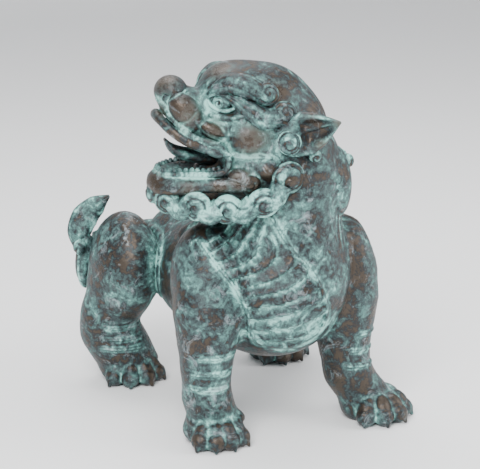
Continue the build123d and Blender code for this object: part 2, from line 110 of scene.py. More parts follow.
def on_body(points):
    """Places that are in the sculpting frame already."""
    return points


# ---------------------------------------------------------------- user settings
class LionSizes(PropertyGroup):
    """How fine the clay is."""

    body_voxel: FloatProperty(name="Body grain", description="Clay cell on trunk and legs, millimetres",
                              default=1.0, min=0.5)
    head_voxel: FloatProperty(name="Head grain", description="Clay cell on the head, millimetres",
                              default=0.75, min=0.4)
    curl_segments: IntProperty(name="Curl segments", description="Points round each snail curl",
                               default=96, min=24)


class LionColours(PropertyGroup):
    """Colours of the patina, from bare bronze to fresh verdigris."""

    bronze: FloatVectorProperty(name="Bare bronze", description="Worn metal on the high spots",
                                subtype="COLOR", size=3, default=(0.060, 0.046, 0.034))
    dark: FloatVectorProperty(name="Dark patina", description="Dark brown-green skin",
                              subtype="COLOR", size=3, default=(0.010, 0.014, 0.018))
    middle: FloatVectorProperty(name="Middle patina", description="Grey-green that covers most of the lion",
                                subtype="COLOR", size=3, default=(0.031, 0.064, 0.064))
    pale: FloatVectorProperty(name="Pale patina", description="Blue-green beside the relief",
                              subtype="COLOR", size=3, default=(0.088, 0.215, 0.196))
    bright: FloatVectorProperty(name="Fresh verdigris", description="Turquoise in grooves and outlines",
                                subtype="COLOR", size=3, default=(0.330, 0.670, 0.600))
    rubbed: FloatVectorProperty(name="Rubbed metal", description="Brown metal where hands touch it",
                                subtype="COLOR", size=3, default=(0.058, 0.042, 0.029))
    chalk: FloatVectorProperty(name="Chalk", description="Pale dust of dry verdigris",
                               subtype="COLOR", size=3, default=(0.420, 0.500, 0.530))


class LionStage(PropertyGroup):
    """Floor, light and camera."""

    key_power: FloatProperty(name="Key light", description="Power of the main soft light",
                             subtype="POWER", default=44.0)
    fill_power: FloatProperty(name="Fill light", description="Power of the side light",
                              subtype="POWER", default=16.0)
    lens: FloatProperty(name="Lens", description="Focal length", subtype="DISTANCE_CAMERA", default=122.0)


# ---------------------------------------------------------------- forms of clay
def turned(turn):
    """Rotation matrix for turns about X, Y and Z in degrees, applied in that order."""
    a, b, c = (radians(value) for value in turn)
    about_x = np.array(((1, 0, 0), (0, cos(a), -sin(a)), (0, sin(a), cos(a))))
    about_y = np.array(((cos(b), 0, sin(b)), (0, 1, 0), (-sin(b), 0, cos(b))))
    about_z = np.array(((cos(c), -sin(c), 0), (sin(c), cos(c), 0), (0, 0, 1)))
    return about_z @ about_y @ about_x


class Egg:
    """Ellipsoid: scaled radius k, then k(k - 1) over the length of its gradient, near the distance."""

    def __init__(self, centre, half, turn=(0, 0, 0)):
        self.centre = np.array(centre, float)
        self.half = np.array(half, float)
        self.spin = turned(turn)
        reach = np.sqrt(((self.spin * self.half) ** 2).sum(axis=1))
        self.low, self.high = self.centre - reach, self.centre + reach

    def __call__(self, x, y, z):
        x, y, z = x - self.centre[0], y - self.centre[1], z - self.centre[2]
        near, steep = 0.0, 0.0
        for axis in range(3):
            along = x * self.spin[0, axis] + y * self.spin[1, axis] + z * self.spin[2, axis]
            share = (along / self.half[axis]) ** 2
            near = near + share
            steep = steep + share / self.half[axis] ** 2
        near = np.sqrt(near)
        return near * (near - 1) / np.sqrt(steep + 1e-9)


class Rod:
    """Straight limb: distance to a segment, less a radius that changes evenly along it."""

    def __init__(self, start, end, start_radius, end_radius):
        self.start, self.end = np.array(start, float), np.array(end, float)
        self.radii = (start_radius, end_radius)
        reach = max(self.radii)
        self.low = np.minimum(self.start, self.end) - reach
        self.high = np.maximum(self.start, self.end) + reach

    def __call__(self, x, y, z):
        along = self.end - self.start
        x, y, z = x - self.start[0], y - self.start[1], z - self.start[2]
        share = np.clip((x * along[0] + y * along[1] + z * along[2]) / (along @ along), 0, 1)
        x, y, z = x - share * along[0], y - share * along[1], z - share * along[2]
        far = np.sqrt(x ** 2 + y ** 2 + z ** 2)
        return far - (self.radii[0] + (self.radii[1] - self.radii[0]) * share)


def limb(points, radii):
    """Chain of rods through a list of points."""
    pairs = zip(points[:-1], points[1:], radii[:-1], radii[1:])
    return [Rod(start, end, near, far) for start, end, near, far in pairs]


def smooth_least(a, b, blend):
    """Least of two fields, rounded where they are nearer than the blend."""
    if blend <= 0:
        return np.minimum(a, b)
    share = np.clip(0.5 + 0.5 * (b - a) / blend, 0, 1)
    return b + (a - b) * share - blend * share * (1 - share)


def step(value, low, high):
    """Smooth step from 0 at low to 1 at high."""
    share = np.clip((value - low) / (high - low), 0, 1)
    return share * share * (3 - 2 * share)


def softened(field, radius):
    """Field averaged over a small cube twice, which is close to a smooth blur."""
    width = 2 * radius + 1
    for _ in range(2):
        for axis in range(3):
            margins = [(radius + 1, radius) if a == axis else (0, 0) for a in range(3)]
            precision = np.float32 if field.shape[axis] < 64 else np.float64
            total = np.cumsum(np.pad(field, margins, mode="edge"), axis=axis, dtype=precision)
            ahead = np.take(total, range(width, total.shape[axis]), axis=axis)
            behind = np.take(total, range(0, total.shape[axis] - width), axis=axis)
            field = ((ahead - behind) / width).astype(np.float32)
    return field


class Clay:
    """Signed distances in millimetres on a grid, negative inside, with a layer of paint."""

    def __init__(self, low, high, voxel):
        self.voxel = voxel
        self.low = np.floor(np.array(low) / voxel) * voxel
        self.count = np.ceil((np.array(high) - self.low) / voxel).astype(int) + 1
        self.field = np.full(self.count, OUTSIDE, np.float32)
        self.paint = np.zeros(self.count, np.float32)

    def window(self, low, high):
        """Slices of the grid between two corners, and their coordinates along each axis."""
        first = np.clip(np.floor((np.array(low) - self.low) / self.voxel).astype(int), 0, self.count)
        last = np.ceil((np.array(high) - self.low) / self.voxel).astype(int) + 1
        last = np.clip(last, first, self.count)
        slices = tuple(slice(a, b) for a, b in zip(first, last))
        x, y, z = ((start + self.voxel * np.arange(a, b)).astype(np.float32)
                   for start, a, b in zip(self.low, first, last))
        return slices, x[:, None, None], y[None, :, None], z[None, None, :]

    def add(self, form, blend=0.0):
        """Join a form to the clay."""
        margin = 4 + blend
        slices, x, y, z = self.window(form.low - margin, form.high + margin)
        if self.field[slices].size:
            self.field[slices] = smooth_least(self.field[slices], form(x, y, z).astype(np.float32), blend)

    def cut(self, form, blend=0.0):
        """Take a form out of the clay."""
        slices, x, y, z = self.window(form.low - 4, form.high + 4)
        if self.field[slices].size:
            self.field[slices] = -smooth_least(-self.field[slices], form(x, y, z).astype(np.float32), blend)

    def keep(self, region):
        """Keep only the clay where a region's field is negative; region takes x, y and z."""
        slices, x, y, z = self.window(self.low, self.low + self.voxel * self.count)
        self.field = np.maximum(self.field, region(x, y, z).astype(np.float32))

    def relief(self, low, high, work):
        """Raise the surface by work(x, y, z, distance) in millimetres, which also returns its paint."""
        slices, x, y, z = self.window(low, high)
        part, paint = self.field[slices], self.paint[slices]
        near = np.abs(part) < BAND
        i, j, k = np.nonzero(near)
        if len(i):
            raised, colour = work(x[i, 0, 0], y[0, j, 0], z[0, 0, k], part[near])
            part[near] -= raised
            paint[near] = np.clip(np.maximum(paint[near], colour), 0, 1)

    def sampled(self, grid, places):
        """Grid values at places given in cells, by trilinear weights."""
        base = np.clip(np.floor(places).astype(int), 0, self.count - 2)
        part = places - base
        total = 0.0
        for corner in range(8):
            step_x, step_y, step_z = corner & 1, corner >> 1 & 1, corner >> 2 & 1
            weight = np.where(step_x, part[:, 0], 1 - part[:, 0])
            weight = weight * np.where(step_y, part[:, 1], 1 - part[:, 1])
            weight = weight * np.where(step_z, part[:, 2], 1 - part[:, 2])
            total = total + weight * grid[base[:, 0] + step_x, base[:, 1] + step_y, base[:, 2] + step_z]
        return total

    def skin(self, name, carried=on_body, rubbed=()):
        """Object of the clay's surface, with how recessed, painted and rubbed each point is.

        A point is recessed by how far the field there is above its own blur. rubbed lists the
        centre and radius of each spot worn back to the metal.
        """
        grid = openvdb.FloatGrid(OUTSIDE)
        grid.copyFromArray(self.field)
        cells, triangles, quads = grid.convertToPolygons(isovalue=0.0, adaptivity=0.0)
        cells = np.asarray(cells, float)
        near, wide = max(1, round(FINE_REACH / self.voxel)), max(2, round(BROAD_REACH / self.voxel))
        fine = self.sampled(self.field - softened(self.field, near), cells)
        broad = self.sampled(self.field - softened(self.field, wide), cells)
        recess = np.clip(fine * FINE_SHARE + broad * BROAD_SHARE, -0.5, 1)
        paint = self.sampled(self.paint, cells)
        places = self.low + cells * self.voxel
        faces = [tuple(face) for face in np.asarray(quads)[:, ::-1].tolist()]
        faces += [tuple(face) for face in np.asarray(triangles)[:, ::-1].tolist()]
        return solid(name, carried(places), faces, recess, paint, worn(places, rubbed))


# ---------------------------------------------------------------- meshes
def worn(places, rubbed):
    """How worn each place is: the most of the bells round the rubbed spots, each a centre and a radius."""
    wear = np.zeros(len(places))
    for centre, radius in rubbed:
        wear = np.maximum(wear, np.exp(-(np.linalg.norm(places - centre, axis=1) / radius) ** 2))
    return wear


def solid(name, points, faces, recess, paint, wear):
    """Object from points in the sculpting frame, its faces and its three surface layers."""
    mesh = bpy.data.meshes.new(name)
    mesh.from_pydata(((points + SHIFT) * MM).tolist(), [], faces)
    mesh.update()
    for layer, values in (("recess", recess), ("paint", paint), ("wear", wear)):
        attribute = mesh.attributes.new(layer, "FLOAT", "POINT")
        attribute.data.foreach_set("value", np.ascontiguousarray(values, np.float32))
    mesh.shade_smooth()
    piece = bpy.data.objects.new(name, mesh)
    bpy.context.scene.collection.objects.link(piece)
    return piece


def wrapped(rings, recess=None, paint=None):
    """Closed surface through rings of points, with a pole at each end.

    rings has one row of points per ring. Returns points, faces and the two layers.
    """
    count, around = rings.shape[:2]
    recess = np.zeros((count, around)) if recess is None else recess
    paint = np.zeros((count, around)) if paint is None else paint
    points = np.concatenate((rings.reshape(-1, 3), rings[:1].mean(axis=1), rings[-1:].mean(axis=1)))
    index = np.arange(count * around).reshape(count, around)
    ahead = np.roll(index, -1, axis=1)
    quads = np.stack((index[:-1], ahead[:-1], ahead[1:], index[1:]), axis=-1).reshape(-1, 4)
    first = [(count * around, ahead[0, j], index[0, j]) for j in range(around)]
    last = [(count * around + 1, index[-1, j], ahead[-1, j]) for j in range(around)]
    faces = [tuple(face) for face in quads.tolist()] + first + last
    layers = [np.append(layer.ravel(), (layer[0].mean(), layer[-1].mean())) for layer in (recess, paint)]
    return points, faces, layers[0], layers[1]


def joined(parts):
    """Several wrapped surfaces as one."""
    start, all_points, all_faces = 0, [], []
    for points, faces, _, _ in parts:
        all_points.append(points)
        all_faces += [tuple(int(corner) + start for corner in face) for face in faces]
        start += len(points)
    recess = np.concatenate([part[2] for part in parts])
    paint = np.concatenate([part[3] for part in parts])
    return np.concatenate(all_points), all_faces, recess, paint


def outwards(piece):
    """Faces of a closed piece made to point out."""
    work = bmesh.new()
    work.from_mesh(piece.data)
    bmesh.ops.recalc_face_normals(work, faces=work.faces)
    work.to_mesh(piece.data)
    work.free()
    return piece


def surface(name, parts, carried=on_body, rubbed=()):
    """Object from wrapped parts, carried to the sculpting frame, with its rubbed spots."""
    points, faces, recess, paint = joined(parts)
    return outwards(solid(name, carried(points), faces, recess, paint, worn(points, rubbed)))


def curve(points, steps=8):
    """Smooth curve through points: cubic between each pair, with slopes taken from their neighbours."""
    points = np.array(points, float)
    padded = np.concatenate((2 * points[:1] - points[1:2], points, 2 * points[-1:] - points[-2:-1]))
    share = np.linspace(0, 1, steps, endpoint=False)[:, None]
    spans = []
    for index in range(1, len(padded) - 2):
        a, b, c, d = padded[index - 1:index + 3]
        spans.append(0.5 * (2 * b + (c - a) * share + (2 * a - 5 * b + 4 * c - d) * share ** 2
                            + (3 * b - a - 3 * c + d) * share ** 3))
    return np.concatenate(spans + [points[-1:]])


def tube(points, radii, around=24, flat=1.0, reference=(0, 0, 1), ripple=None):
    """Profile carried along a smooth path: an ellipse of the given radius, flattened along one side.

    ripple takes the shares along and around, and returns a height in millimetres.
    """
    path = curve(points)
    spread = np.interp(np.linspace(0, 1, len(path)), np.linspace(0, 1, len(radii)), radii)
    tangent = np.gradient(path, axis=0)
    tangent /= np.linalg.norm(tangent, axis=1)[:, None]
    side = np.cross(tangent, np.array(reference, float))
    side /= np.linalg.norm(side, axis=1)[:, None]
    top = np.cross(side, tangent)
    angle = np.linspace(0, 2 * pi, around, endpoint=False)
    along = np.linspace(0, 1, len(path))[:, None]
    lift = np.zeros((len(path), around)) if ripple is None else ripple(along, angle[None, :])
    wide = (spread[:, None] + lift)[..., None]
    rings = path[:, None] + wide * (np.cos(angle)[None, :, None] * side[:, None]
                                    + flat * np.sin(angle)[None, :, None] * top[:, None])
    return wrapped(rings, recess=-lift * 0.8)


def snail(centre, axis, up, radii, thickness, turns=1.6, hand=1, depth=1.3, around=96, core=1.0):
    """Snail curl: a dome over an oval, with a spiral furrow whose phase is radius times turns less angle.

    axis points out of the clay, up sets where the spiral starts, and core is the spiral's share of the dome.
    """
    axis = np.array(axis, float) / np.linalg.norm(axis)
    across = np.cross(np.array(up, float), axis)
    across /= np.linalg.norm(across)
    upright = np.cross(axis, across)
    latitude = np.linspace(0.02, 0.98, 40)[:, None] * pi
    angle = np.linspace(0, 2 * pi, around, endpoint=False)[None, :]
    radius = np.sin(latitude)
    phase = 2 * pi * turns * radius / core - hand * angle
    front = step(-latitude, -pi * 0.56, -pi * 0.45)
    inside = front * step(-radius, -1.08 * core, -0.92 * core) if core < 1 else front
    groove = np.exp(-((np.mod(phase + pi, 2 * pi) - pi) / 0.75) ** 2)
    groove = groove * inside * step(radius, 0.06 * core, 0.2 * core)
    ring = np.exp(-((radius - 1.05 * core) / 0.07) ** 2) * front if core < 1 else 0 * groove
    eye = np.exp(-(radius / (0.16 * core)) ** 2) * front
    height = thickness * np.cos(latitude) - depth * groove - 0.6 * depth * ring + 0.4 * depth * eye
    rings = (np.array(centre, float)
             + (radii[0] * radius * np.cos(angle))[..., None] * across
             + (radii[1] * radius * np.sin(angle))[..., None] * upright
             + height[..., None] * axis)
    rim = np.exp(-((radius - 0.97) / 0.08) ** 2) * front
    bright = front * (1 - groove) * (1 - ring) * step(radius, 0.2, 0.5)
    return wrapped(rings, recess=-0.75 * groove - 0.5 * ring - 0.6 * eye, paint=0.35 * bright + 0.25 * rim)


# ---------------------------------------------------------------- relief on the clay
def nearest(across, up, line):
    """Distance in a drawing plane from points to a smooth line."""
    best = np.full(across.shape, 1e6, np.float32)
    for (x0, y0), (x1, y1) in zip(line[:-1], line[1:]):
        dx, dy = x1 - x0, y1 - y0
        share = np.clip(((across - x0) * dx + (up - y0) * dy) / (dx * dx + dy * dy + 1e-9), 0, 1)
        best = np.minimum(best, np.hypot(across - x0 - share * dx, up - y0 - share * dy))
    return best


def bead(distance, width, height, trough=0.5):
    """Raised line of a given half width, with a shallow furrow on each side; also its paint."""
    ridge = np.exp(-(distance / width) ** 2)
    furrow = np.exp(-((distance - 2.1 * width) / (0.8 * width)) ** 2)
    return height * ridge - trough * height * furrow, 0.62 * ridge


def furrow(distance, width, depth):
    """Cut line of a given half width, and its paint."""
    cut = np.exp(-(distance / width) ** 2)
    return -depth * cut, 0.35 * cut


def whorl(across, up, centre, radius, turns, hand=1, start=0.0, depth=1.0):
    """Spiral furrow inside a circle of the drawing plane, with a rim, and its paint."""
    dx, dy = across - centre[0], up - centre[1]
    far = np.hypot(dx, dy) / radius
    phase = 2 * pi * turns * far - hand * np.arctan2(dy, dx) + start
    inside = step(-far, -1.05, -0.9)
    cut = np.exp(-((np.mod(phase + pi, 2 * pi) - pi) / 0.9) ** 2) * inside * step(far, 0.1, 0.3)
    dome = 1.1 * np.sqrt(np.clip(1 - far ** 2, 0, 1))
    rim = np.exp(-((far - 1.08) / 0.1) ** 2)
    return dome - depth * cut - 0.5 * rim, 0.5 * cut + 0.45 * rim


# ---------------------------------------------------------------- the lion's body in clay
PAWS = {                        # centre, heading, angle between toes and reach of the toes
    "front_leg_right": ((-63, -59), -9, 29, 26),
    "front_leg_left": ((80, -66), 10, 33, 29),
    "hind_leg_right": ((-67, 108), -5, 37, 26),
    "hind_leg_left": ((77, 105), 9, 35, 26),
}


def paw_forms(centre, heading, spacing, reach):
    """Forms of a paw: pad, wrist roll, four knuckled toes and their claws, with the blend of each."""
    x, y = centre
    forms = [(Egg((x, y + 3, 10), (25, 20, 15), (0, 0, heading)), 8),
             (Egg((x, y - 2, 20), (24, 19, 7), (6, 0, heading)), 2)]
    for index in range(4):
        turn = heading + spacing * (index - 1.5)
        angle = radians(turn - 90)
        ahead = np.array((cos(angle), sin(angle)))
        knuckle = np.array((x, y)) + ahead * (reach - 12)
        tip = np.array((x, y)) + ahead * (reach - 3)
        forms.append((Egg((*knuckle, 12.5), (9.2, 14, 11.5), (10, 0, turn)), 1.0))
        forms.append((Egg((*tip, 8.0), (8.6, 9.0, 8.2), (0, 0, turn)), 0.8))
        claw = tip + ahead * 6
        forms.append((Rod((*claw, 7.0), (*(claw + ahead * 2.5), 2.2), 3.9, 1.6), 0.4))
    return forms


def front_leg(x, y, side):
    """Shoulder muscle of a front leg and the limb that comes down from it to the paw at x, y."""
    if side < 0:
        muscle = Egg((-65, -43, 136), (24, 32, 42), (0, 4, 8))
        points = ((-67, -50, 128), (-67, -55, 108), (-69, -58, 86), (-71, -60, 64), (-70, -59, 40),
                  (x, y + 3, 20))
        return muscle, limb(points, (24, 25.5, 22, 18.5, 18, 20.5))
    muscle = Egg((63, -47, 131), (23, 32, 42), (0, -4, -8))
    points = ((62, -52, 124), (59, -54, 104), (58, -56, 84), (57, -59, 62), (59, -61, 42),
              (x - 6, y + 2, 18))
    return muscle, limb(points, (24, 26, 22.5, 19, 18, 20.5))


def hind_leg(x, y, side):
    """Haunch muscle of a hind leg and the limb that comes down from it to the paw at x, y."""
    hip = 78 if side > 0 else 74
    hock = hip + 10
    muscle = Egg((side * hip, 103, 107), (29, 42, 49), (0, side * -5, 0))
    points = ((side * (hip + 4), 108, 84), (side * hock, 113, 62), (side * hock, 116, 46),
              (x + side * 7, y + 6, 30), (x, y + 2, 17))
    return muscle, limb(points, (27, 24, 23.5, 24, 24))


def leg_forms(name):
    """Forms of one leg from the muscle to the claws, with the blend of each."""
    side = 1 if name.endswith("left") else -1
    (x, y), heading, spacing, reach = PAWS[name]
    muscle, chain = (front_leg if name.startswith("front") else hind_leg)(x, y, side)
    forms = [(muscle, 9)] + [(rod, 9) for rod in chain]
    return forms + paw_forms((x, y), heading, spacing, reach)


TRUNK_FORMS = [
    (Egg((0, 30, 108), (62, 119, 56)), 0),
    (Egg((-1, -43, 125), (57, 57, 57)), 26),
    (Egg((0, 112, 112), (50, 37, 46)), 20),
    (Rod((-1, -46, 142), (4, -56, 204), 54, 41), 18),
    (Rod((4, -56, 204), (6, -56, 232), 41, 33), 8),
]


def tufts(side, out):
    """Two tufts of mane that lie over the flank behind a shoulder, out millimetres from the middle."""
    front = ((out - 12, -24, 172), (out, -10, 152), (out + 1, -2, 130), (out - 1, 0, 108))
    back = ((out - 16, -8, 172), (out - 4, 8, 154), (out - 1, 18, 134))
    return [rod for places, radii in ((front, (9, 11, 10, 4)), (back, (8, 9, 4)))
            for rod in limb([(side * x, y, z) for x, y, z in places], radii)]


TUFTS = [(form, 3) for side, out in ((-1, 58), (1, 56)) for form in tufts(side, out)]
MUSCLES = {name: leg_forms(name)[0][0] for name in PAWS}
LEG_ZONES = {
    "front_leg_right": limb(((-78, -46, 136), (-84, -66, 60), (-80, -70, 0)), (42, 46, 60)),
    "front_leg_left": limb(((78, -50, 130), (82, -66, 60), (92, -70, 0)), (40, 46, 60)),
    "hind_leg_right": limb(((-96, 106, 108), (-92, 112, 50), (-84, 100, 0)), (56, 52, 56)),
    "hind_leg_left": limb(((100, 106, 108), (94, 112, 50), (92, 98, 0)), (56, 52, 56)),
}


def zone_distance(name, x, y, z):
    """Field of the zone that belongs to a leg's casting."""
    return np.minimum.reduce([form(x, y, z) for form in LEG_ZONES[name]])


def muscle_outline(trunk, muscle):
    """Relief along the crease where a muscle meets the trunk: a furrow with a raised rim outside it."""
    def work(x, y, z, distance):
        """The crease is where both fields are nought, and its distance is their root sum of squares."""
        on_muscle, on_trunk = muscle(x, y, z), trunk(x, y, z)
        crease = np.hypot(on_muscle, on_trunk)
        rim = np.hypot(on_muscle - 5.0, on_trunk)
        cut, cut_paint = furrow(crease, 2.6, 1.6)
        line, line_paint = bead(rim, 1.5, 1.1, 0.2)
        return cut + line, np.maximum(cut_paint * 0.5, line_paint * 0.8)
    return work


def leg_rings(heights, foot):
    """Relief of short level ridges across the front of a leg."""
    def work(x, y, z, distance):
        """Each ridge is level but for a sag by the cosine of the angle round the leg."""
        raised, paint = 0.0, 0.0
        angle = np.arctan2(x - foot[0] + 6, -(y - foot[1] - 4))
        for index, height in enumerate(heights):
            sag = 2.2 * np.cos(angle * 1.1)
            across = step(-np.abs(angle + 0.15 * (index % 3)), -0.95, -0.6)
            line, colour = bead(np.abs(z + sag - height), 1.2, 1.0, 0.5)
            raised, paint = raised + across * line, np.maximum(paint, across * colour)
        return raised, paint
    return work


def breast_panel(x, y, z, distance):
    """Relief of the banded breast: slanting scales inside a raised border, drawn from ahead and aside."""
    away = -80 - y
    across, up = x + 0.50 * away, z - 0.36 * away
    lower = curve(((-42, 92), (-30, 84), (-5, 78), (14, 84), (24, 92)))
    left_edge = curve(((-86, 178), (-78, 166), (-68, 152), (-56, 136), (-48, 122), (-43, 108), (-42, 92)))
    right_edge = curve(((-24, 188), (-12, 168), (-4, 156), (8, 143), (18, 129), (25, 112), (27, 100),
                        (24, 92)))
    centre = np.interp(up, (80, 100, 125, 150, 170, 190), (-8, -8, -12, -30, -52, -58))
    half = np.interp(up, (78, 92, 110, 130, 150, 170, 190), (12, 33, 35, 34, 34, 30, 24))
    share = (across - centre) / half
    inside = step(1.0 - np.abs(share), -0.02, 0.06) * step(up, 80, 86) * step(-y, 18, 30)
    slope = np.interp(up, (90, 125, 150, 180), (0.05, 0.14, 0.38, 0.75))
    bands = up - slope * (across - centre) - 5.0 * share ** 2
    phase = np.mod(bands, 10.5) / 10.5
    scale = -1.7 * phase + 0.85
    lip = np.exp(-((phase - 0.06) / 0.09) ** 2) + np.exp(-((phase - 1.06) / 0.09) ** 2)
    raised = inside * (scale + 0.5 * lip)
    paint = inside * 0.34 * lip
    front = step(-y, 15, 30)
    for edge in (left_edge, right_edge, lower):
        line, colour = bead(nearest(across, up, edge), 1.3, 1.2, 0.4)
        raised = raised + front * line
        paint = np.maximum(paint, front * colour)
    return raised, paint


def mane_locks(x, y, z, distance):
    """Relief of the mane: long furrows that run down the neck and out over the shoulders."""
    angle = np.arctan2(x - 4, y + 52)
    flow = angle * 5.5 + 0.030 * (z - 160) * np.sign(angle + 1e-6) + 0.5 * np.sin(z * 0.06)
    wave = 0.5 - 0.5 * np.cos(2 * pi * flow)
    back = np.maximum(step(y, -62, -48), step(x, 22, 38)) * step(z, 146, 168) * step(-z, -232, -222)
    sharp = wave ** 0.6
    uneven = 0.65 + 0.35 * np.sin(angle * 7.3 + z * 0.05)
    return back * uneven * (1.3 * sharp - 0.8), back * uneven * 0.22 * (1 - sharp)


def spine(x, y, z, distance):
    """Relief of the spine: a row of flat overlapping locks along the back."""
    top = step(z, 120, 140)
    along = np.mod(y + 3.0 * np.abs(x) / 9.0 * 2, 15.0) / 15.0
    ridge = np.exp(-(x / 8.5) ** 4) * top * step(y, -12, 0) * step(-y, -142, -132)
    lip = np.exp(-((along - 0.95) / 0.12) ** 2)
    edge = np.exp(-((np.abs(x) - 10.5) / 1.6) ** 2) * top * step(y, -12, 0) * step(-y, -142, -132)
    return ridge * (2.4 * along ** 0.7) - 0.7 * edge, 0.5 * edge + 0.35 * ridge * lip


def trunk_field(x, y, z):
    """Field of the trunk and neck without legs or tufts."""
    field = TRUNK_FORMS[0][0](x, y, z)
    for form, blend in TRUNK_FORMS[1:]:
        field = smooth_least(field, form(x, y, z), blend)
    return field


def cast_skin(x, y, z, distance):
    """Relief of the uneven cast skin: a product of three waves, each bent by a slower one."""
    over_x = np.sin(x * 0.71 + 1.3 * np.sin(z * 0.23))
    over_y = np.sin(y * 0.63 + 1.1 * np.sin(x * 0.31))
    over_z = np.sin(z * 0.67 + 1.2 * np.sin(y * 0.27))
    return CAST_GRAIN * over_x * over_y * over_z, 0.0


def body_clay(low, high, voxel, wanted):
    """Clay of the whole body inside a box, carved, and cut down to the trunk or to one leg."""
    clay = Clay(low, high, voxel)
    for form, blend in TRUNK_FORMS + TUFTS:
        clay.add(form, blend)
    for name in PAWS:
        for form, blend in leg_forms(name):
            clay.add(form, blend)
    everywhere = (clay.low, clay.low + clay.voxel * clay.count)
    for name, muscle in MUSCLES.items():
        clay.relief(muscle.low - 6, muscle.high + 6, muscle_outline(trunk_field, muscle))
        x, y = foot = PAWS[name][0]
        heights = (80, 66, 53) if name.startswith("front") else (57, 46, 37)
        clay.relief((x - 60, y - 50, 22), (x + 60, y + 50, 84), leg_rings(heights, foot))
    clay.relief((-100, -112, 66), (60, -15, 215), breast_panel)
    clay.relief((-80, -90, 140), (80, 30, 235), mane_locks)
    clay.relief((-24, -14, 110), (24, 150, 190), spine)
    clay.relief(*everywhere, cast_skin)
    if wanted == "trunk":
        def region(x, y, z):
            """Outside every leg's zone and under the neck's top."""
            legs = np.minimum.reduce([zone_distance(name, x, y, z) for name in PAWS])
            return np.maximum(-legs, z - NECK_TOP)
    else:
        clay.field += LEG_TUCK * step(zone_distance(wanted, *clay.window(*everywhere)[1:]), -0.6, 0.4)

        def region(x, y, z):
            """Inside this leg's zone, a little past its edge, and above the floor."""
            return np.maximum(zone_distance(wanted, x, y, z) - LEG_OVERLAP, -z)
    clay.keep(region)
    return clay


# ---------------------------------------------------------------- the head in clay, forward, left and up
UPPER_LIP = ((61, 31, 245), (76, 28, 250), (90, 25, 256), (100, 20, 264), (106, 13, 273), (110, 5, 279),
             (111, 0, 280))
MOUTH_ROLL = ((64, 30, 240), (78, 27, 245), (93, 24, 251), (105, 17, 259), (112, 8, 266), (113, 0, 268))
LOWER_ROLL = ((40, 36, 216), (62, 32, 216), (85, 27, 215), (102, 20, 213), (112, 11, 211), (116, 0, 213))
GUM_LINE = ((62, 31, 226), (74, 29, 224), (88, 25, 224), (102, 19, 223), (111, 11, 222), (114, 0, 223))
CORNER = ((76, 28, 250), (66, 31, 247), (59, 33, 240), (58, 33, 232), (62, 31, 226), (74, 29, 224))
RUBBED = (                      # high spots of one cheek that hands have rubbed, each with its radius
    ((40, 42, 252), 12), ((92, 29, 275), 12), ((70, 30, 260), 8), ((109, 8, 272), 6), ((112, 8, 213), 9),
    ((90, 27, 212), 7), ((66, 35, 214), 7), ((50, 42, 221), 10), ((36, 39, 213), 6), ((20, 35, 288), 9),
    ((60, 10, 304), 9),
)


def mirrored_tube(clay, points, radius, blend):
    """Add a rope of clay along a smooth line on both cheeks."""
    for side in (1, -1):
        line = curve([(forward, side * left, up) for forward, left, up in points], 4)
        for form in limb(line, [radius] * len(line)):
            clay.add(form, blend)


def drawn(forward, left, up):
    """Drawing-plane coordinates of points on either cheek."""
    out = np.abs(left) - DRAW_LEFT
    return forward - DRAW_FORWARD * out, up - DRAW_UP * out


def head_lines(forward, left, up, distance):
    """Relief of the face: folds, lids and outlines, drawn on the slanting cheek plane."""
    across, height = drawn(forward, left, up)
    side = step(np.abs(left), 9, 15)
    raised = np.zeros_like(across)
    paint = np.zeros_like(across)
    beads = (
        (((22, 233), (32, 234), (44, 234.5), (56, 238)), 1.3, 1.1),
        (((52, 266), (53, 258), (58, 251), (66, 247)), 1.1, 0.7),
        (((56, 262), (64, 266), (74, 266), (80, 262)), 0.9, 0.5),
        (((42, 268), (50, 266), (60, 267), (71, 270)), 2.0, 1.8),
        (((93, 291), (97, 297), (104, 300)), 1.2, 0.9),
        (((93, 291), (101, 286), (109, 282)), 1.1, 0.8),
    )
    for points, width, lift in beads:
        line, colour = bead(nearest(across, height, curve(points, 5)), width, lift, 0.3)
        raised, paint = raised + side * line, np.maximum(paint, side * colour)
    cuts = (
        (((40, 271), (46, 279), (52, 288), (60, 293), (70, 290)), 2.6, 2.8),
        (((84, 272), (90, 266), (98, 264)), 1.6, 1.2),
        (((60, 251), (68, 253), (78, 258), (84, 265)), 1.5, 1.2),
    )
    for points, width, depth in cuts:
        line, colour = furrow(nearest(across, height, curve(points, 5)), width, depth)
        raised = raised + side * line
        paint = np.maximum(paint, 0.1 * side * colour)
    washes = (
        (((14, 264), (15, 252), (13, 240), (16, 226)), 4.5, 0.42),
        (((75, 290), (74, 280), (72, 272), (60, 262)), 4.5, 0.36),
        (((24, 239), (40, 240), (56, 242)), 4.0, 0.22),
        (((30, 266), (42, 262), (50, 258)), 3.5, 0.2),
    )
    for points, width, strength in washes:
        wash = np.exp(-(nearest(across, height, curve(points, 4)) / width) ** 2)
        paint = np.maximum(paint, side * strength * wash)
    swirl, colour = whorl(across, height, (37, 213), 7.5, 1.2, depth=1.1)
    here = side * step(-np.hypot(across - 37, height - 213), -9.8, -8.6)
    raised, paint = raised + here * swirl, np.maximum(paint, here * colour * 0.35)
    return raised, paint


def crown_lines(forward, left, up, distance):
    """Relief over the crown: faint hair furrows that run back from the brow, stronger at the nape."""
    back = step(up, 250, 276) * step(-forward, -58, -30)
    strength = 0.2 + 0.5 * step(-forward, -22, 2)
    angle = np.arctan2(left, up - 240)
    wave = 0.5 - 0.5 * np.cos(2 * pi * (angle * 5.2 + 0.03 * forward))
    return back * strength * (0.7 * wave ** 0.6 - 0.4), 0.0


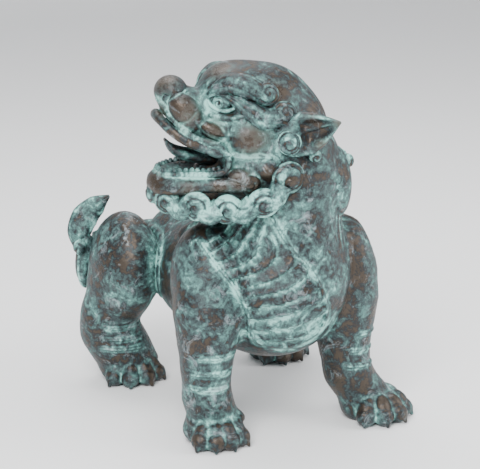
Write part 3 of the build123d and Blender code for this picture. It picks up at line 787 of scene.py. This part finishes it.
def head_clay(voxel, jaw):
    """Clay of the head casting, or of the lower jaw alone."""
    clay = Clay((-50, -58, 180), (136, 58, 314), voxel)
    if jaw:
        clay.add(Egg((79, 0, 217), (41, 29, 12)), 0)
        clay.add(Egg((112, 0, 214), (9, 13, 8)), 5)
        mirrored_tube(clay, LOWER_ROLL, 5.2, 2.5)
        clay.cut(Egg((84, 0, 230), (30, 19, 9)), 2)
        mirrored_tube(clay, GUM_LINE, 2.3, 0.8)
        low, high = (30, -50, 190), (136, 50, 245)
    else:
        clay.add(Egg((26, 0, 258), (49, 41, 48)), 0)
        clay.add(Egg((50, 0, 279), (27, 32, 27)), 14)
        clay.add(Egg((24, 0, 226), (38, 38, 32)), 12)
        clay.add(Rod((1, 1, 250), (-1, 1, 222), 31, 40), 12)
        clay.add(Rod((-1, 1, 222), (-1, 1, 212), 40, 37), 6)
        clay.cut(Egg((-2, 1, 164), (90, 90, 40)), 0)
        clay.add(Rod((40, 0, 232), (66, 0, 214), 26, 18), 8)
        clay.add(Egg((80, 0, 264), (38, 24, 19), (0, -40, 0)), 8)
        for side in (1, -1):
            clay.add(Egg((40, side * 28, 252), (18, 14, 17), (0, 0, side * -8)), 1.5)
            clay.add(Egg((26, side * 33, 227), (13, 10, 8)), 3)
            clay.add(Egg((44, side * 33, 221), (15, 9, 8), (0, -12, 0)), 2)
            clay.add(Egg((90, side * 17, 271), (19, 12, 12.0), (0, -46, 0)), 0.8)
            clay.add(Egg((67, side * 21, 257), (17, 10, 7.5), (0, -24, 0)), 0.8)
            clay.cut(Egg((60, side * 32, 281), (11, 9, 9.0), (0, -25, 0)), 2)
        clay.cut(Egg((82, 0, 238), (34, 22, 10), (0, -12, 0)), 2)
        clay.cut(Egg((104, 0, 252), (20, 17, 11), (0, -38, 0)), 3)
        mirrored_tube(clay, MOUTH_ROLL, 3.5, 2.0)
        mirrored_tube(clay, UPPER_LIP, 2.3, 0.4)
        mirrored_tube(clay, CORNER, 2.8, 0.4)
        low, high = (-50, -58, 190), (136, 58, 314)
        clay.relief((-50, -58, 230), (62, 58, 314), crown_lines)
    clay.relief(low, high, head_lines)
    paint_lips(clay)
    return clay


def paint_lips(clay):
    """Verdigris along the raised ropes of the mouth."""
    for points in (UPPER_LIP, CORNER, GUM_LINE):
        line = curve(points, 4)
        low = line.min(axis=0) - 6
        high = line.max(axis=0) + 6
        low[1] = -high[1]

        def work(forward, left, up, distance, line=line):
            """Paint is a flat-topped bell of the distance to the rope's nearest point."""
            best = np.full(forward.shape, 1e6, np.float32)
            for place in line:
                square = (forward - place[0]) ** 2 + (np.abs(left) - place[1]) ** 2 + (up - place[2]) ** 2
                best = np.minimum(best, np.sqrt(square))
            return 0.0, 0.85 * np.exp(-(best / 2.7) ** 4)

        clay.relief(low, high, work)


# ---------------------------------------------------------------- patina
def patina(name, shade=0.0, fresh=0.0):
    """Cast bronze under verdigris, from worn brown metal to turquoise in the recesses.

    shade moves the whole piece along that range, and fresh adds to the verdigris on its painted lines.
    """
    colours = bpy.context.scene.lion_colours
    material = bpy.data.materials.new(name)
    material.use_nodes = True
    nodes, links = material.node_tree.nodes, material.node_tree.links
    shader = nodes["Principled BSDF"]
    place = nodes.new("ShaderNodeTexCoord").outputs["Object"]

    def noise(scale, detail, roughness, distortion=0.0):
        """Cloudy value from 0 to 1 through the metal."""
        node = nodes.new("ShaderNodeTexNoise")
        node.inputs["Scale"].default_value = scale
        node.inputs["Detail"].default_value = detail
        node.inputs["Roughness"].default_value = roughness
        node.inputs["Distortion"].default_value = distortion
        links.new(place, node.inputs["Vector"])
        return node.outputs["Fac"]

    def worked(operation, *values):
        """Result of one arithmetic step on numbers and sockets."""
        node = nodes.new("ShaderNodeMath")
        node.operation = operation
        for socket, value in zip(node.inputs, values):
            if isinstance(value, (int, float)):
                socket.default_value = value
            else:
                links.new(value, socket)
        return node.outputs[0]

    def layer(attribute):
        """Value of one of the mesh's surface layers."""
        node = nodes.new("ShaderNodeAttribute")
        node.attribute_name = attribute
        return node.outputs["Fac"]

    broad = noise(34, 3, 0.55, 0.5)
    blotch = noise(110, 4, 0.62, 0.9)
    fine = noise(300, 5, 0.7, 0.5)
    specks = noise(950, 3, 0.7)
    amount = worked("MULTIPLY_ADD", layer("recess"), 0.32, 0.32 + shade)
    amount = worked("MULTIPLY_ADD", worked("SUBTRACT", broad, 0.5), 1.45, amount)
    amount = worked("MULTIPLY_ADD", worked("SUBTRACT", blotch, 0.5), 1.60, amount)
    amount = worked("MULTIPLY_ADD", worked("SUBTRACT", fine, 0.5), 0.95, amount)
    amount = worked("MULTIPLY_ADD", worked("SUBTRACT", specks, 0.5), 0.35, amount)
    brushed = worked("MULTIPLY", layer("paint"), worked("MULTIPLY_ADD", blotch, 1.5, 0.15 + fresh))
    amount = worked("ADD", amount, brushed)

    ramp = nodes.new("ShaderNodeValToRGB")
    stops = ((0.0, colours.bronze), (0.17, colours.dark), (0.40, colours.middle),
             (0.66, colours.pale), (0.98, colours.bright))
    while len(ramp.color_ramp.elements) < len(stops):
        ramp.color_ramp.elements.new(0.5)
    for element, (position, colour) in zip(ramp.color_ramp.elements, stops):
        element.position = position
        element.color = (*colour, 1.0)
    links.new(amount, ramp.inputs["Fac"])

    warm = nodes.new("ShaderNodeMix")
    warm.data_type = "RGBA"
    warm.inputs["B"].default_value = (*colours.rubbed, 1.0)
    links.new(ramp.outputs["Color"], warm.inputs["A"])
    rubbed = worked("MULTIPLY", layer("wear"), worked("MULTIPLY_ADD", blotch, 3.0, -0.45))
    tint = worked("MULTIPLY", worked("SUBTRACT", noise(60, 3, 0.6, 0.6), 0.58), 0.5)
    brown = worked("MAXIMUM", worked("MAXIMUM", rubbed, tint), 0.0)
    links.new(worked("MINIMUM", brown, 0.85), warm.inputs["Factor"])
    chalk = nodes.new("ShaderNodeMix")
    chalk.data_type = "RGBA"
    chalk.inputs["B"].default_value = (*colours.chalk, 1.0)
    links.new(warm.outputs["Result"], chalk.inputs["A"])
    dust = worked("MULTIPLY", worked("SUBTRACT", noise(52, 4, 0.8, 1.2), 0.57), 4.5)
    dust = worked("MULTIPLY", dust, worked("MULTIPLY", fine, 1.4))
    links.new(worked("MINIMUM", worked("MAXIMUM", dust, 0.0), 0.6), chalk.inputs["Factor"])
    links.new(chalk.outputs["Result"], shader.inputs["Base Color"])

    def ranged(value, low, high, first, last):
        """Value carried evenly from low and high to first and last."""
        node = nodes.new("ShaderNodeMapRange")
        for socket, number in zip(("From Min", "From Max", "To Min", "To Max"), (low, high, first, last)):
            node.inputs[socket].default_value = number
        links.new(value, node.inputs["Value"])
        return node.outputs["Result"]

    dull = ranged(amount, 0.10, 0.60, 0.36, 0.70)
    links.new(worked("MULTIPLY_ADD", rubbed, -0.22, dull), shader.inputs["Roughness"])
    links.new(ranged(amount, 0.05, 0.30, 0.60, 0.0), shader.inputs["Metallic"])
    bump = nodes.new("ShaderNodeBump")
    bump.inputs["Strength"].default_value = 0.55
    bump.inputs["Distance"].default_value = 0.0007
    links.new(worked("ADD", fine, worked("MULTIPLY", specks, 0.5)), bump.inputs["Height"])
    links.new(bump.outputs["Normal"], shader.inputs["Normal"])
    return material


def finished(piece, material, *nodes):
    """Put a piece in its material, on the lion's one body, in place of its castings."""
    piece.data.materials.clear()
    piece.data.materials.append(material)
    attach(piece, BODY)
    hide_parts(*nodes)
    return piece


def cached(name, **settings):
    """A patina made once and shared."""
    return bpy.data.materials.get(name) or patina(name, **settings)


def body_patina():
    """Patina of the trunk and legs."""
    return cached("body_patina")


def head_patina():
    """Patina of the head."""
    return cached("head_patina", shade=-0.01, fresh=0.25)


def curl_patina():
    """Paler patina of the beard's curls."""
    return cached("curl_patina", shade=0.07, fresh=0.15)


def lock_patina():
    """Plainer patina of the nape lock, brows and ears, made with the default settings."""
    return cached("lock_patina")


# ---------------------------------------------------------------- operators, one for each group of castings
class SculptTrunk(Operator):
    """Sculpt the trunk with its banded breast, mane and spine"""

    bl_idname = "lion.trunk"
    bl_label = "Trunk"

    def execute(self, context):
        voxel = context.scene.lion_sizes.body_voxel
        clay = body_clay((-76, -112, 40), (76, 160, 230), voxel * TRUNK_GRAIN, "trunk")
        finished(clay.skin("trunk"), body_patina(), "torso_shell")
        return {"FINISHED"}


class SculptLegs(Operator):
    """Sculpt the four legs with their muscles, rings, toes and claws"""

    bl_idname = "lion.legs"
    bl_label = "Legs"

    def execute(self, context):
        voxel = context.scene.lion_sizes.body_voxel * LEG_GRAIN
        for name in PAWS:
            forms = [form for form, _ in leg_forms(name)]
            low = np.min([form.low for form in forms], axis=0) - 8
            high = np.max([form.high for form in forms], axis=0) + 8
            low[2] = -3
            clay = body_clay(low, high, voxel, name)
            finished(clay.skin(f"{name}_bronze"), body_patina(), name)
        return {"FINISHED"}


class SculptHead(Operator):
    """Sculpt the skull, raised muzzle and lower jaw"""

    bl_idname = "lion.head"
    bl_label = "Head"

    def execute(self, context):
        voxel = context.scene.lion_sizes.head_voxel
        for name, node, jaw in (("head", "head_shell", False), ("jaw", "lower_jaw", True)):
            clay = head_clay(voxel if jaw else voxel * SKULL_GRAIN, jaw)
            rubbed = [((forward, side * left, up), radius)
                      for (forward, left, up), radius in RUBBED for side in (1, -1)]
            finished(clay.skin(name, on_head, rubbed), head_patina(), node)
        return {"FINISHED"}


class MakeMouth(Operator):
    """Make the curled tongue and both rows of teeth"""

    bl_idname = "lion.mouth"
    bl_label = "Tongue and teeth"

    def execute(self, context):
        def groove(along, angle):
            """Bell-shaped furrow down the middle of the tongue's top."""
            return -1.6 * np.exp(-((angle - pi / 2) / 0.35) ** 2) * step(along, 0.05, 0.2) + 0 * along

        tongue = tube(((60, 0, 230), (76, 0, 233), (90, 0, 236), (100, 0, 241), (106, 0, 248)),
                      (11, 13, 12.5, 9, 3.0), flat=0.42, ripple=groove)
        finished(surface("curled_tongue", [tongue], on_head), head_patina(), "tongue")
        for name, node, line, direction in (
            ("lower_tooth_row", "lower_teeth", GUM_LINE, 1),
            ("upper_tooth_row", "upper_teeth", MOUTH_ROLL, -1),
        ):
            path = curve(line, 3)[1:]
            teeth = []
            for forward, left, up in path:
                for side in (1, -1) if left > 1.5 else (1,):
                    inward = 0.90 if direction > 0 else 0.84
                    root = np.array((forward - 1.0, side * left * inward, up + direction * 0.5))
                    lean = np.array((0.45, 0, -0.85)) if direction < 0 else np.array((0.05, 0, 1.0))
                    teeth.append(tube((root, root + lean * 2.4, root + lean * 4.4), (2.6, 2.5, 1.3),
                                      around=12, reference=(0, 1, 0)))
            finished(surface(name, teeth, on_head), curl_patina(), node)
        return {"FINISHED"}


class MakeFace(Operator):
    """Make the nose, eyes, brows and ears"""

    bl_idname = "lion.face"
    bl_label = "Nose, eyes, brows and ears"

    NOSE_CENTRE, NOSE_HALF = (100, 0, 285.5), (14.5, 16.5, 12.5)
    EYE_CENTRE, EYE_AXIS = (61, 24.5, 280.0), (0.40, 0.88, 0.02)
    UPPER_BROW = ((72, 20, 285), (65, 25, 290), (55, 29, 294), (43, 32, 292), (31, 33, 286))
    LOWER_BROW = ((60, 29, 286), (51, 33, 281), (41, 36, 274), (30, 38, 268), (18, 38, 269))
    BROW_AXIS = (-0.12, 0.93, 0.30)
    EAR_ROOT, EAR_TIP, EAR_WIDTH = (15.0, 36.0, 250.0), (-24.0, 61.0, 267.0), 17.5

    def execute(self, context):
        self.nose()
        for side, word in SIDES:
            self.eye(side, word)
            self.brow(side, word)
            self.ear(side, word)
        return {"FINISHED"}

    def nose(self):
        """Pug nose: a round knob with two nostrils pressed in."""
        polar = np.linspace(0.03, 0.97, 48)[:, None] * pi
        angle = np.linspace(0, 2 * pi, 72, endpoint=False)[None, :]
        direction = np.stack((np.sin(polar) * np.cos(angle), np.cos(polar) + 0 * angle,
                              np.sin(polar) * np.sin(angle)), axis=-1)
        press = np.zeros(polar.shape[:1] + angle.shape[1:])
        for side in (1, -1):
            aim = np.array((0.50, side * 0.72, -0.20))
            far = np.linalg.norm(direction - aim / np.linalg.norm(aim), axis=-1)
            press = press + np.exp(-(far / 0.30) ** 2)
        radius = np.array(self.NOSE_HALF) * (1 - 0.30 * press)[..., None]
        rings = np.array(self.NOSE_CENTRE) + direction * radius
        rim = np.exp(-((direction[..., 2] + 0.35) / 0.22) ** 2) * step(direction[..., 0], -0.2, 0.3)
        part = wrapped(rings, recess=press * 1.2 - 0.45, paint=0.6 * rim)
        rubbed = [((106, 5, 294), 10), ((104, -5, 292), 10)]
        finished(surface("pug_nose", [part], on_head, rubbed), lock_patina(), "nose")

    def eye(self, side, word):
        """Bulging eye with a ringed pupil, in almond lids."""
        mirror = np.array((1, side, 1))
        centre = mirror * self.EYE_CENTRE
        axis = mirror * self.EYE_AXIS
        ball = snail(centre, axis, UP, (8.5, 6.5), 7.2, turns=1.0, hand=side, depth=0.0, around=64)
        ball[2][:] *= 0
        ball[3][:] *= 0.5
        place = centre + axis * 5.8 + np.array((1.5, 0, -0.5))
        pupil = snail(place, axis, UP, (3.4, 3.4), 2.8, turns=0.5, hand=side, depth=1.2, around=48)
        lids = []
        for low in (False, True):
            arc = np.linspace(-0.15, pi + 0.15, 9)
            bend = -1 if low else 1
            lid = np.stack((np.cos(arc) * 10.5, side * -np.cos(arc) * 4.2,
                            bend * np.sin(arc) * 6.0 + np.cos(arc) * 2.0), axis=-1)
            lids.append(tube(centre + axis * 4.2 + lid, (0.7, 1.5, 1.8, 1.5, 0.7), around=12, reference=axis))
            lids[-1][3][:] = 0.45 if low else 0.05
        eye = surface(f"ringed_eye_{word}", [ball, pupil, *lids], on_head)
        finished(eye, head_patina(), f"eye_{word}")

    def brow(self, side, word):
        """Two flame locks over the eye, each ending in a snail curl."""
        def comb(along, angle):
            """Seven bell-shaped furrows round the lock, which slant by one spacing along it."""
            return -0.9 * np.exp(-((np.mod(angle * 3.5 / pi + along, 1) - 0.5) / 0.16) ** 2)

        mirror = np.array((1, side, 1))
        locks = [tube(mirror * line, (2.0, middle, full, 9.5, 8.5), around=64, ripple=comb,
                      reference=(0, 0.2, 1))
                 for line, middle, full in ((self.UPPER_BROW, 6.0, 8.5), (self.LOWER_BROW, 5.0, 8.0))]
        axis = mirror * self.BROW_AXIS
        curls = [
            snail((28, side * 34.5, 286), axis, UP, (10, 9.5), 8.0, turns=1.2, hand=-side, core=0.75),
            snail((15, side * 38.5, 271), axis, UP, (10.5, 10), 8.0, turns=1.3, hand=-side, core=0.75),
        ]
        for part in curls:
            part[3][:] *= 0.5
        brow = surface(f"flame_brow_{word}", [*locks, *curls], on_head)
        finished(brow, lock_patina(), f"brow_{word}")

    def ear(self, side, word):
        """Pointed ear: a leaf whose front is hollowed between raised rims, with a snail at its root."""
        along = np.linspace(0, 1, 56)[:, None]
        angle = np.linspace(0, 2 * pi, 96, endpoint=False)[None, :]
        mirror = np.array((1, side, 1))
        root, tip = mirror * self.EAR_ROOT, mirror * self.EAR_TIP
        ahead = (tip - root) / np.linalg.norm(tip - root)
        out = np.array((0.55, side * 0.80, -0.10))
        out = out - (out @ ahead) * ahead
        out /= np.linalg.norm(out)
        high = np.cross(ahead, out) * side
        shares = np.interp(along, (0, 0.18, 0.42, 0.65, 0.85, 1.0), (0.80, 0.95, 1.0, 0.74, 0.36, 0.05))
        width = self.EAR_WIDTH * shares
        depth = np.interp(along, (0, 0.3, 0.7, 1.0), (10, 8.5, 5.0, 0.9))
        sheet = np.cos(angle)
        front = step(np.sin(angle), -0.05, 0.25)
        hollow = np.exp(-(np.abs(sheet) / 0.62) ** 4) * front
        hollow = hollow * step(along, 0.26, 0.44) * step(-along, -0.95, -0.75)
        spine = np.exp(-((sheet + 0.1) / 0.10) ** 2) * hollow
        reach = np.sin(angle) * depth * (1 - 1.25 * hollow + 0.35 * spine)
        rings = (root + along[..., None] * (tip - root)
                 + (sheet * width)[..., None] * high
                 + reach[..., None] * out)
        rim = np.exp(-((np.abs(sheet) - 0.86) / 0.10) ** 2) * front
        leaf = wrapped(rings, recess=-0.5 * hollow - 0.25 * rim, paint=0.45 * rim + 0.2 * spine)
        curl = snail((12, side * 45.0, 250), (0.30, side, 0.0), UP, (9.5, 10.0), 8.0, turns=1.2, hand=side,
                     core=0.8)
        knob = snail((-9, side * 43, 238), (-0.2, side, -0.2), UP, (5, 5), 5.0, turns=0.9, hand=side,
                     depth=0.8)
        rubbed = [(tip, 5), ((-6, side * 48, 270), 5), ((-12, side * 54, 248), 5)]
        ear = surface(f"pointed_ear_{word}", [leaf, curl, knob], on_head, rubbed)
        finished(ear, lock_patina(), f"ear_{word}")


class MakeCurls(Operator):
    """Make the beard's snail curls, the chin curl and the nape lock"""

    bl_idname = "lion.curls"
    bl_label = "Beard and nape"

    PLACES = ((12, 42, 221), (32, 43, 203), (60, 37, 198), (85, 30, 200), (105, 17, 202))
    LEANS = (-0.15, 0.05, 0.2, 0.4)

    def execute(self, context):
        around = context.scene.lion_sizes.curl_segments
        for side, word in SIDES:
            for index in range(len(self.LEANS)):
                self.beard_curl(index, side, word, around)
        chin = [snail((107, side * 14, 202), (0.5, side * 0.8, -0.1), UP, (11.5, 11.0), 8.0, turns=1.0,
                      hand=side, depth=1.6, around=around, core=0.62) for side in (1, -1)]
        chin.append(snail((117, 0, 206), (0.95, 0, 0.1), UP, (9.5, 9.0), 6.0, turns=1.0, depth=1.0,
                          around=64))
        finished(surface("chin_snails", chin, on_head), curl_patina(), "chin_curl")
        self.nape()
        return {"FINISHED"}

    def beard_curl(self, index, side, word, around):
        """Snail disc with a combed lock that sags from it to the next disc; the rearmost is the largest."""
        place = np.array(self.PLACES[index])
        away = np.array(self.PLACES[index + 1]) - place
        mirror = np.array((1, side, 1))
        size, turns, core = ((13.5, 14.0), 1.25, 0.85) if index == 0 else ((13.0, 12.0), 1.0, 0.62)
        disc = snail(mirror * place, (self.LEANS[index], side * 0.95, -0.12), UP, size, 8.0, turns=turns,
                     hand=side, depth=1.7, around=around, core=core)
        start, end = place + away * 0.25, place + away * 0.95
        path = np.array((start, (start + end) / 2 + (0, 0.5, -6.0), end + (0, -1.5, -1.0)))
        swathe = tube(mirror * path, (9.0, 8.0, 7.5), around=48, reference=(0, 0.3, 1), ripple=self.strands)
        swathe[3][:] = np.maximum(swathe[3], 0.16)
        curl = surface(f"snail_{word}_{index + 1}", [disc, swathe], on_head)
        finished(curl, curl_patina(), f"beard_curl_{word}_{index + 1}")

    @staticmethod
    def strands(along, angle):
        """Six bell-shaped furrows round a lock, which slant along it and fade at its ends."""
        comb = np.exp(-((np.mod(angle * 3 / pi + 0.6 * along, 1) - 0.5) / 0.17) ** 2)
        return -0.9 * comb * step(along, 0, 0.2) * step(-along, -1, -0.8)

    def nape(self):
        """Nape lock: a flat oval with combed furrows, a rolled edge and a small nub beside it."""
        parts = []
        for side in (1, -1):
            lock = snail((-34, side * 16, 211), (-0.55, side * 0.82, 0.12), UP, (17, 29), 9.5, turns=0.5,
                         hand=side, depth=1.1, core=0.8)
            lock[3][:] *= 0.6
            nub = snail((-46, side * 9, 225), (-0.8, side * 0.5, 0), UP, (5, 6), 5.0, turns=0.9, depth=0.7,
                        around=48)
            parts += [lock, nub]
        finished(surface("nape_oval", parts, on_head), lock_patina(), "nape_lock")


class MakeTail(Operator):
    """Make the tail: its stem, pointed leaf and round curl against the right haunch"""

    bl_idname = "lion.tail"
    bl_label = "Tail"

    def execute(self, context):
        def strands(along, angle):
            """Six bell-shaped furrows round the tail, straight along it."""
            return -0.8 * np.exp(-((np.mod(angle * 3 / pi, 1) - 0.5) / 0.18) ** 2) + 0 * along

        stem = tube(((4, 138, 116), (-14, 147, 121), (-36, 148, 124), (-60, 146, 125), (-84, 141, 122)),
                    (14, 12, 10.5, 10, 9), around=48, ripple=strands)
        finished(surface("tail_sweep", [stem]), body_patina(), "tail_stem")
        leaf = tube(((-99, 139, 118), (-100, 142, 132), (-94, 143, 145), (-84, 139, 156), (-74, 134, 164)),
                    (7, 11, 12, 9, 1.2), around=48, flat=0.5, ripple=strands, reference=(0.5, 0.85, 0))
        leaf[3][:] = 0.2
        finished(surface("tail_flame", [leaf]), body_patina(), "tail_leaf")
        lobe = snail((-95, 139, 105), (-0.55, 0.8, 0.05), UP, (12.5, 25), 9.0, turns=0.8, depth=1.5,
                     core=0.85)
        knob = snail((-104, 131, 121), (-0.8, 0.5, 0.1), UP, (7, 7), 6.0, turns=1.1, depth=1.0, around=48)
        finished(surface("tail_snail", [lobe, knob]), body_patina(), "tail_curl")
        return {"FINISHED"}


class FinishPlug(Operator):
    """Give the belly's core plug its patina"""

    bl_idname = "lion.plug"
    bl_label = "Core plug"

    def execute(self, context):
        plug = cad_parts["belly_plug"]
        plug.data.materials.clear()
        plug.data.materials.append(patina("plug_patina", shade=-0.1))
        return {"FINISHED"}


class BuildStage(Operator):
    """Lay the floor and set the lights and camera"""

    bl_idname = "lion.stage"
    bl_label = "Stage"

    FLOOR_REACH, FLOOR_BACK, BACK_HEIGHT = 4.0, 2.4, 5.0        # metres, as the lights' places are
    LAMP_AIM = (0, 0, 0.15)
    CAMERA_PLACE, CAMERA_AIM = (-593, -1175, 504), (-6, 10, 150)

    def execute(self, context):
        settings = context.scene.lion_stage
        self.floor()
        self.world()
        self.light("key", (-0.9, -1.1, 1.35), 0.9, settings.key_power)
        self.light("fill", (1.2, -0.7, 0.8), 1.1, settings.fill_power)
        self.light("top", (0.1, 0.5, 1.5), 1.0, settings.fill_power)
        self.camera(context, settings.lens)
        return {"FINISHED"}

    def floor(self):
        """Pale floor that rises behind the lion: flat, then a quarter circle, then straight up."""
        across = np.linspace(-self.FLOOR_REACH, self.FLOOR_REACH, 3)
        arc = np.linspace(0, pi / 2, 24)
        bend = np.stack((self.FLOOR_BACK + np.sin(arc), 1 - np.cos(arc)), 1)[1:]
        flat = ((-self.FLOOR_REACH, 0.0), (self.FLOOR_BACK, 0.0))
        profile = np.concatenate((flat, bend, ((self.FLOOR_BACK + 1, self.BACK_HEIGHT),)))
        points = [(x, y, z) for x in across for y, z in profile]
        row = len(profile)
        faces = [(i * row + j, (i + 1) * row + j, (i + 1) * row + j + 1, i * row + j + 1)
                 for i in range(2) for j in range(row - 1)]
        mesh = bpy.data.meshes.new("floor")
        mesh.from_pydata(points, [], faces)
        mesh.shade_smooth()
        floor = bpy.data.objects.new("floor", mesh)
        bpy.context.scene.collection.objects.link(floor)
        material = bpy.data.materials.new("pale_floor")
        material.use_nodes = True
        shader = material.node_tree.nodes["Principled BSDF"]
        shader.inputs["Base Color"].default_value = (0.93, 0.93, 0.93, 1)
        shader.inputs["Roughness"].default_value = 0.9
        mesh.materials.append(material)

    def world(self):
        """Even pale light from all round."""
        world = bpy.data.worlds.new("pale_room")
        world.use_nodes = True
        world.node_tree.nodes["Background"].inputs["Color"].default_value = (0.95, 0.97, 1.0, 1)
        world.node_tree.nodes["Background"].inputs["Strength"].default_value = 0.8
        bpy.context.scene.world = world

    def light(self, name, place, size, power):
        """Square soft light aimed at the lion."""
        data = bpy.data.lights.new(name, "AREA")
        data.size = size
        data.energy = power
        lamp = bpy.data.objects.new(name, data)
        lamp.location = place
        lamp.rotation_euler = (Vector(self.LAMP_AIM) - Vector(place)).to_track_quat("-Z", "Y").to_euler()
        bpy.context.scene.collection.objects.link(lamp)

    def camera(self, context, lens):
        """Camera a little above the lion, off its right front."""
        data = bpy.data.cameras.new("camera")
        data.lens = lens
        data.sensor_width = 36
        camera = bpy.data.objects.new("camera", data)
        camera.location = Vector((np.array(self.CAMERA_PLACE) + SHIFT) * MM)
        aim = Vector((np.array(self.CAMERA_AIM) + SHIFT) * MM)
        camera.rotation_euler = (aim - camera.location).to_track_quat("-Z", "Y").to_euler()
        context.scene.collection.objects.link(camera)
        context.scene.camera = camera


STEPS = (SculptTrunk, SculptLegs, SculptHead, MakeMouth, MakeFace, MakeCurls, MakeTail, FinishPlug,
         BuildStage)


class LionPanel(Panel):
    """Lists the lion's settings and steps."""

    bl_idname = "VIEW3D_PT_guardian_lion"
    bl_label = "Guardian lion"
    bl_space_type = "VIEW_3D"
    bl_region_type = "UI"
    bl_category = "Guardian lion"

    def draw(self, context):
        for group in (context.scene.lion_sizes, context.scene.lion_colours, context.scene.lion_stage):
            for key in group.__annotations__:
                self.layout.prop(group, key)
        for kind in STEPS:
            self.layout.operator(kind.bl_idname)


CLASSES = (LionSizes, LionColours, LionStage, *STEPS, LionPanel)


def register():
    """Add the lion's classes and settings."""
    for kind in CLASSES:
        bpy.utils.register_class(kind)
    bpy.types.Scene.lion_sizes = PointerProperty(type=LionSizes)
    bpy.types.Scene.lion_colours = PointerProperty(type=LionColours)
    bpy.types.Scene.lion_stage = PointerProperty(type=LionStage)


def unregister():
    """Remove them again."""
    del bpy.types.Scene.lion_sizes
    del bpy.types.Scene.lion_colours
    del bpy.types.Scene.lion_stage
    for kind in reversed(CLASSES):
        bpy.utils.unregister_class(kind)


def main():
    """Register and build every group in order."""
    register()
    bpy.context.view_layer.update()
    for kind in STEPS:
        group, action = kind.bl_idname.split(".")
        getattr(getattr(bpy.ops, group), action)()


if __name__ == "__main__":
    main()
